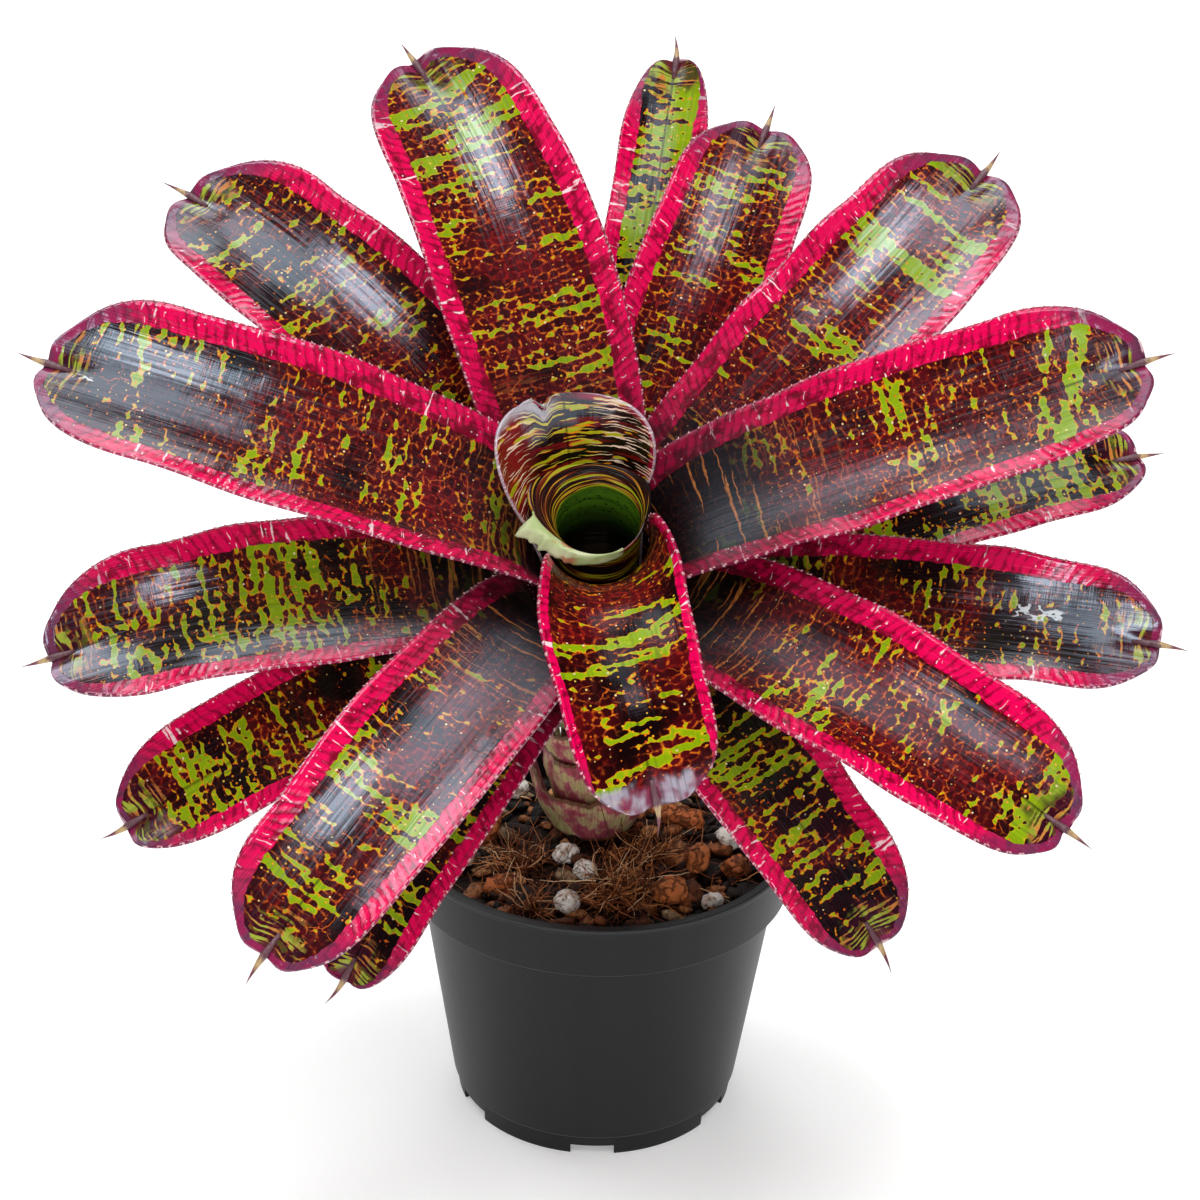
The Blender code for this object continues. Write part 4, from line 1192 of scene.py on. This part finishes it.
def lump_points(centre, size, turn, boxiness, rough, seed, subdivisions):
    """Points and faces of a rough lump."""
    lump = bmesh.new()
    bmesh.ops.create_icosphere(lump, subdivisions=subdivisions, radius=1.0)
    shift = Vector((seed * 3.1, seed * 1.3, seed * 0.7))
    rotation = (Matrix.Rotation(turn[2], 3, "Z") @ Matrix.Rotation(turn[1], 3, "Y")
                @ Matrix.Rotation(turn[0], 3, "X"))
    points = []
    for vertex in lump.verts:
        direction = vertex.co.normalized()
        reach = sum(abs(part) ** boxiness for part in direction) ** (-1.0 / boxiness)
        swell = noise.noise(direction * 1.6 + shift) + 0.45 * noise.noise(direction * 4.5 + shift)
        reach *= 1.0 + rough * swell
        local = Vector([0.5 * extent * part * reach for extent, part in zip(size, direction)])
        points.append(rotation @ local + Vector(centre))
    faces = [tuple(vertex.index for vertex in face.verts) for face in lump.faces]
    lump.free()
    return points, faces


def chip_material():
    """Bark chips: black-brown to fox-red, a few tan. The first UV part is the chip's own tint, with
    painted shade where the chip sinks into the mix.
    """
    shader = Shader("mix_chips", 0.75, bump=0.0020)
    tint, pale = shader.parts(shader.uv("Tint"))
    place = shader.place()
    grain = shader.noise(shader.scaled(place, 420.0, 160.0, 420.0), detail=4.0, rough=0.65)
    colour = shader.ramp(tint, ((0.0, (0.0020, 0.0008, 0.0005)), (0.45, (0.022, 0.006, 0.003)),
                                (0.72, (0.330, 0.090, 0.026)), (1.0, (0.700, 0.330, 0.130))))
    colour = shader.mix(shader.step(pale, 0.93, 0.95), colour, (0.420, 0.280, 0.160))
    colour = shader.mix(shader.step(grain, 0.35, 0.60), shader.darker(colour, 0.25), colour)
    return shader.finish(colour, grain)


def make_chips():
    """The bed of small bark chips."""
    rng = random.Random(11)
    points, faces, tint_and_shade = [], [], []
    for index in range(CHIP_COUNT):
        reach = MIX_RADIUS * 0.985 * math.sqrt(rng.random())
        angle = rng.uniform(0.0, 2.0 * math.pi)
        length = rng.uniform(*SMALL_CHIP) if rng.random() < SMALL_CHIPS else rng.uniform(*LARGE_CHIP)
        reach = min(reach, MIX_RADIUS - 0.45 * length)
        x, y = reach * math.cos(angle), reach * math.sin(angle)
        size = (length, length * rng.uniform(0.45, 0.8), length * rng.uniform(0.25, 0.55))
        centre = (x, y, mix_height(x, y) + rng.uniform(-0.0008, 0.0022))
        turn = (rng.uniform(-0.7, 0.7), rng.uniform(-0.7, 0.7), rng.uniform(0.0, math.pi))
        some, shape = lump_points(centre, size, turn, rng.uniform(2.4, 4.0), 0.38, index + 1, 2)
        faces += [tuple(corner + len(points) for corner in face) for face in shape]
        tint, pale = rng.random() ** 1.3, rng.random()
        for point in some:
            # painted shade: the lower parts of a chip, down in the mix, go dark
            out_of_shade = smoothstep((point.z - mix_height(point.x, point.y) + 0.0002) / 0.0026)
            tint_and_shade.append((tint * out_of_shade, pale * smoothstep(out_of_shade * 2.0)))
        points += some
    mesh = mesh_from("chips", points, faces)
    set_uv(mesh, "Tint", tint_and_shade)
    add_piece("mix_chips", mesh, chip_material(), [])


def fibre(points, radius, first):
    """Points and faces of a thin three-sided strand."""
    rings, faces = [], []
    for index, point in enumerate(points):
        ahead = (points[min(index + 1, len(points) - 1)] - points[max(index - 1, 0)]).normalized()
        side = ahead.orthogonal().normalized()
        up = ahead.cross(side)
        thin = radius * (1.0 - 0.6 * index / len(points))
        for corner in range(3):
            angle = 2.0 * math.pi * corner / 3.0
            rings.append(point + thin * (math.cos(angle) * side + math.sin(angle) * up))
    for ring in range(len(points) - 1):
        for corner in range(3):
            low, high = first + 3 * ring, first + 3 * ring + 3
            after = (corner + 1) % 3
            faces.append((low + corner, low + after, high + after, high + corner))
    return rings, faces


def random_vector(rng):
    """A vector of three normal draws."""
    return Vector((rng.gauss(0, 1), rng.gauss(0, 1), rng.gauss(0, 1)))


def strand_path(start, direction, steps, pace, curl, rng):
    """A wandering path that stays close to the mix."""
    point, ahead = start.copy(), direction.normalized()
    turn = random_vector(rng) * curl
    path = [point.copy()]
    for _ in range(steps):
        ahead = (ahead + turn + random_vector(rng) * curl * 0.7).normalized()
        point = point + pace * ahead
        floor = mix_height(point.x, point.y) + 0.0008
        if point.z < floor:
            point.z = floor
            ahead.z = abs(ahead.z)
        if math.hypot(point.x, point.y) > MIX_RADIUS:
            break
        path.append(point.copy())
    return path


def coir_material():
    """Fox-red to straw fibres, darker where they lie on the mix as painted shade."""
    shader = Shader("coir_fibre", 0.7)
    tint, _ = shader.parts(shader.uv("Tint"))
    grain = shader.noise(shader.place(), 500.0)
    colour = shader.ramp(tint, ((0.0, (0.012, 0.003, 0.001)), (0.5, (0.200, 0.048, 0.014)),
                                (0.8, (0.720, 0.270, 0.085)), (1.0, (0.950, 0.700, 0.420))))
    return shader.finish(shader.mix(grain * 0.4, colour, (0.120, 0.040, 0.015)))


# name: middle, half sizes, strands
TUFTS = {
    "coir_tuft_1": ((0.0085, -0.0350), (0.0130, 0.0115, 0.0075), 420),
    "coir_tuft_2": ((-0.0300, -0.0160), (0.0090, 0.0070, 0.0050), 170),
    "coir_tuft_3": ((0.0190, -0.0090), (0.0090, 0.0070, 0.0050), 150),
    "coir_tuft_4": ((-0.0250, -0.0430), (0.0070, 0.0055, 0.0045), 110),
}


def strands_piece(name, paths, rng, replaced, material):
    """One piece out of many strands."""
    points, faces, tint_and_shade = [], [], []
    for path in paths:
        if len(path) < 3:
            continue
        rings, sides = fibre(path, rng.uniform(*FIBRE_RADIUS), len(points))
        points += rings
        faces += sides
        tint = rng.random()
        for point in rings:
            # painted shade: a strand darkens where it lies close to the mix
            out_of_shade = smoothstep((point.z - mix_height(point.x, point.y)) / 0.0045)
            tint_and_shade.append((tint * (0.25 + 0.75 * out_of_shade), 0.0))
    mesh = mesh_from(name, points, faces)
    set_uv(mesh, "Tint", tint_and_shade)
    add_piece(name, mesh, material, replaced)


def make_coir():
    """Tufts of coir and loose strands across the mix."""
    rng = random.Random(5)
    material = coir_material()
    for name, (place, half, count) in TUFTS.items():
        paths = []
        for _ in range(count):
            spot = Vector([rng.gauss(0.0, 0.45) * part for part in half])
            start = Vector((place[0] + spot.x, place[1] + spot.y, 0.0))
            start.z = mix_height(start.x, start.y) + 0.001 + abs(rng.gauss(0.0, 0.5)) * half[2]
            heading = Vector((rng.gauss(0, 1), rng.gauss(0, 1), rng.gauss(0.15, 0.5)))
            paths.append(strand_path(start, heading, rng.randint(8, 20), 0.0011, 0.26, rng))
        strands_piece(f"{name}_fibres", paths, rng, [name], material)
    paths = []
    for _ in range(LOOSE_FIBRES):
        reach, angle = MIX_RADIUS * 0.95 * math.sqrt(rng.random()), rng.uniform(0.0, 2.0 * math.pi)
        start = Vector((reach * math.cos(angle), reach * math.sin(angle), 0.0))
        start.z = mix_height(start.x, start.y) + rng.uniform(0.001, 0.004)
        heading = Vector((rng.gauss(0, 1), rng.gauss(0, 1), rng.gauss(0, 0.3)))
        paths.append(strand_path(start, heading, rng.randint(6, 14), 0.0013, 0.16, rng))
    strands_piece("loose_fibres", paths, rng, [], material)


def stone_material(name, pale, dark, scale, bump, pitted):
    """Rough stone with pits, or a fibrous chunk with creases; darker in them, partly dirt and partly
    painted shade.
    """
    shader = Shader(name, 0.85, bump=bump)
    place = shader.place()
    rough = shader.noise(place, scale, detail=5.0, rough=0.7)
    if pitted:
        pits = shader.step(shader.cells(place, scale * 1.6, kind="3D"), 0.34, 0.20)
        pits = pits * shader.step(rough, 0.40, 0.50)
    else:
        pits = shader.step(abs(shader.noise(place, scale * 0.6) - 0.5), 0.050, 0.020)
    stain = shader.step(shader.noise(place, scale * 0.5, detail=3.0), 0.50, 0.66)
    colour = shader.mix(stain * 0.75, pale, dark)
    # darker in the pits and creases: partly dirt, partly painted shade
    colour = shader.mix(pits, colour, shader.mix(0.35, dark, colour))
    return shader.finish(colour, rough - pits * 0.7)


# kind: its material's name, pale and dark colour, scale, bump, with pits
STONE_LOOKS = {
    "pumice": ("pumice_stone", (0.950, 0.920, 0.860), (0.400, 0.220, 0.110), 330.0, 0.0022, True),
    "clay": ("clay_stone", (0.540, 0.160, 0.050), (0.050, 0.015, 0.007), 300.0, 0.0020, False),
    "bark": ("bark_piece", (0.560, 0.150, 0.044), (0.022, 0.006, 0.003), 260.0, 0.0030, False),
}
BARK_ROUGHNESS = 0.0020
STONE_ROUGHNESS = 0.0011


def make_stones():
    """Pumice, clay and bark pieces, refined from the solids."""
    looks = {kind: stone_material(*row) for kind, row in STONE_LOOKS.items()}
    for name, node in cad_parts.items():
        kind = name.split("_")[0]
        if kind not in looks:
            continue
        body = bmesh.new()
        body.from_mesh(node.data)
        body.transform(node.matrix_world)
        bmesh.ops.remove_doubles(body, verts=body.verts, dist=1e-6)
        bmesh.ops.subdivide_edges(body, edges=body.edges, cuts=3, smooth=0.6, use_grid_fill=True)
        body.normal_update()
        reach = BARK_ROUGHNESS if kind == "bark" else STONE_ROUGHNESS
        for vertex in body.verts:
            swell = noise.noise(vertex.co * 190.0) + 0.6 * noise.noise(vertex.co * 520.0)
            vertex.co += vertex.normal * reach * swell
        mesh = bpy.data.meshes.new(name)
        body.to_mesh(mesh)
        body.free()
        add_piece(f"{name}_rough", mesh, looks[kind], [name], Matrix())


# ---------------------------------------------------------------- stem and old leaf bases
STEM_COLLAR = (-0.003, 0.019, 0.1060)

# name: lower and upper height, radius there, middle direction, half angle, raised corner, seed
OLD_SHEATHS = {
    "old_sheath_front": (0.1040, 0.1285, 0.0152, 0.0230, -100, 98, 0.0085, 1),
    "old_sheath_left": (0.1180, 0.1450, 0.0150, 0.0192, -140, 85, 0.0070, 2),
    "old_sheath_top": (0.1340, 0.1625, 0.0158, 0.0200, -120, 100, 0.0040, 3),
}
HUSK_THICKNESS = 0.0009
SHEATH_ROWS = 40
SHEATH_COLUMNS = 120


def stem_centre(height):
    """Centre of the bare stem at a height."""
    share = max((height - STEM_COLLAR[2]) / (CROWN_BASE[2] - STEM_COLLAR[2]), 0.0)
    drift = share * share * (CROWN_BASE[1] - STEM_COLLAR[1])
    return Vector((STEM_COLLAR[0], STEM_COLLAR[1] + drift, height))


def sheath_material():
    """Withered leaf base: maroon-pink with cream and olive blotches, brown at the torn edge."""
    shader = Shader("old_leaf_base", 0.48, bump=0.0007)
    _, up = shader.parts(shader.uv("Sheath"))
    place = shader.place()
    flat = shader.warped(shader.scaled(shader.uv("Sheath"), 2.6, 1.5), 2.0, 0.35)
    veins = shader.stretched(shader.uv("Sheath"), 46.0, 1.8)
    blotch = shader.noise(flat, 1.0, detail=4.0, rough=0.6)
    colour = shader.ramp(blotch, ((0.34, (0.230, 0.018, 0.050)), (0.47, (0.440, 0.100, 0.130)),
                                  (0.52, (0.560, 0.400, 0.220)), (0.64, (0.460, 0.470, 0.170))))
    colour = shader.mix(shader.step(veins, 0.56, 0.40) * 0.30, colour, (0.130, 0.025, 0.030))
    colour = shader.mix(shader.step(up + blotch * 0.25, 1.02, 1.10), colour, (0.130, 0.055, 0.028))
    colour = shader.mix(shader.step(up, 0.16, 0.02), colour, (0.070, 0.028, 0.014))
    height = veins + shader.noise(place, 160.0, detail=3.0)
    return shader.finish(colour, height, Specular_IOR_Level=0.3)


def make_old_sheath(name, row, material):
    """A cut-back leaf base that cups the stem, with folds and a ragged edge."""
    low, high, low_radius, high_radius, middle, half_angle, corner, seed = row
    points, uvs = [], []
    for up_index in range(SHEATH_ROWS + 1):
        up = up_index / SHEATH_ROWS
        for column in range(SHEATH_COLUMNS + 1):
            across = 2.0 * column / SHEATH_COLUMNS - 1.0
            angle = math.radians(middle + half_angle * across)
            peak = max(-across - 0.35, 0.0) / 0.65
            torn = noise.noise(Vector((across * 5.0, seed * 4.0, 0.0)))
            torn += 0.5 * noise.noise(Vector((across * 17.0, seed, 0.0)))
            rise = (high - low) * (0.90 + 0.10 * across * across + 0.09 * torn) + corner * peak * peak
            fold = noise.noise(Vector((across * 3.2, up * 1.4, seed * 2.0)))
            crease = noise.noise(Vector((across * 9.0, up * 2.5, seed * 5.0)))
            radius = low_radius + (high_radius - low_radius) * math.sin(up * math.pi / 2.0)
            radius += 0.25 * corner * peak * peak * up + up * (0.0022 * fold + 0.0010 * crease)
            height = low + up * rise
            points.append(stem_centre(height) + radius * Vector((math.cos(angle), math.sin(angle), 0.0)))
            uvs.append((across, up))
    mesh = mesh_from(name, points, grid_faces(SHEATH_ROWS + 1, SHEATH_COLUMNS + 1))
    set_uv(mesh, "Sheath", uvs)
    mesh.flip_normals()
    piece = add_piece(f"{name}_husk", mesh, material, [name])
    thicken(piece, HUSK_THICKNESS, offset=0.0)


def make_old_sheaths():
    """The three old leaf bases on the stem."""
    material = sheath_material()
    for name, row in OLD_SHEATHS.items():
        make_old_sheath(name, row, material)


def plain_material(name, first, second, scale, roughness, bump):
    """Two colours mottled together, with a bump."""
    shader = Shader(name, roughness, bump=bump)
    place = shader.place()
    mottle = shader.noise(place, scale, detail=5.0, rough=0.65)
    colour = shader.mix(shader.step(mottle, 0.35, 0.65), first, second)
    return shader.finish(colour, shader.noise(place, scale * 3.0, detail=4.0))


# node: its material's name, two colours, scale, roughness, bump
PLAIN_LOOKS = {
    "potting_mix": ("mix_bed", (0.002, 0.001, 0.0008), (0.020, 0.008, 0.004), 300.0, 0.95, 0.002),
    "stem": ("bare_stem", (0.090, 0.030, 0.020), (0.300, 0.180, 0.080), 120.0, 0.6, 0.001),
}


def dress_frame():
    """Better materials on the solids that keep their shape."""
    for name, row in PLAIN_LOOKS.items():
        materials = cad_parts[name].data.materials
        materials.clear()
        materials.append(plain_material(*row))


# ---------------------------------------------------------------- stage
CAMERA_ELEVATION = math.radians(25.5)
CAMERA_DISTANCE = 1.0
CAMERA_ROLL = math.radians(1.35)
CAMERA_LENS = 82.11          # on a 36 mm sensor
CAMERA_SHIFT = -0.0042
LOOK_AT = Vector((0.0, 0.0, 0.208))

# name: azimuth from +X towards +Y, elevation, spread, all in degrees, then power and seen in gloss
LIGHTS = {
    "overhead": (80.0, 86.0, 30.0, 0.80, True),
    "high_back": (95.0, 50.0, 32.0, 0.70, True),
    "high_right": (5.0, 63.0, 26.0, 0.80, False),
    "high_left": (152.0, 56.0, 26.0, 0.80, True),
    "high_front": (-84.0, 66.0, 20.0, 0.85, True),
    "front_left": (-140.0, 30.0, 40.0, 0.35, False),
    "front_right": (-40.0, 30.0, 40.0, 0.30, False),
    "low_front": (-90.0, 22.0, 24.0, 1.20, False),
}


def make_camera():
    """Camera in front of the plant, a little above it."""
    data = bpy.data.cameras.new("camera")
    data.lens = CAMERA_LENS
    data.sensor_width = 36.0
    data.shift_x = CAMERA_SHIFT
    camera = bpy.data.objects.new("camera", data)
    bpy.context.scene.collection.objects.link(camera)
    back = Vector((0.0, -math.cos(CAMERA_ELEVATION), math.sin(CAMERA_ELEVATION)))
    aim = AT_POT @ LOOK_AT
    turn = back.to_track_quat("Z", "Y").to_matrix() @ Matrix.Rotation(CAMERA_ROLL, 3, "Z")
    camera.matrix_world = Matrix.Translation(aim + CAMERA_DISTANCE * back) @ turn.to_4x4()
    bpy.context.scene.camera = camera


def make_light(name, azimuth, elevation, spread, power, glossy):
    """A soft light far away."""
    data = bpy.data.lights.new(name, "SUN")
    data.energy = power
    data.angle = math.radians(spread)
    light = bpy.data.objects.new(name, data)
    bpy.context.scene.collection.objects.link(light)
    light.visible_glossy = glossy
    azimuth, elevation = math.radians(azimuth), math.radians(elevation)
    towards = Vector((math.cos(elevation) * math.cos(azimuth), math.cos(elevation) * math.sin(azimuth),
                      math.sin(elevation)))
    light.location = AT_POT @ towards
    light.rotation_euler = towards.to_track_quat("Z", "Y").to_euler()


def make_stage():
    """White floor, soft light from above, from both sides and from the front."""
    bpy.ops.mesh.primitive_plane_add(size=30.0, location=pot_centre())
    floor = bpy.context.active_object
    floor.name = "floor"
    shader = Shader("studio_floor", 0.9)
    shader.finish((0.92, 0.92, 0.92), Specular_IOR_Level=0.0, Emission_Color=(1.0, 1.0, 1.0, 1.0),
                  Emission_Strength=0.20)
    floor.data.materials.append(shader.material)
    world = bpy.data.worlds.new("studio")
    world.use_nodes = True
    world.node_tree.nodes["Background"].inputs["Color"].default_value = (1.0, 1.0, 1.0, 1.0)
    world.node_tree.nodes["Background"].inputs["Strength"].default_value = 0.05
    bpy.context.scene.world = world
    for name, row in LIGHTS.items():
        make_light(name, *row)
    bpy.context.scene.view_settings.view_transform = "Standard"


make_camera()
dress_frame()
make_rosette()
make_pot()
make_chips()
make_coir()
make_stones()
make_old_sheaths()
make_stage()
bpy.context.view_layer.update()
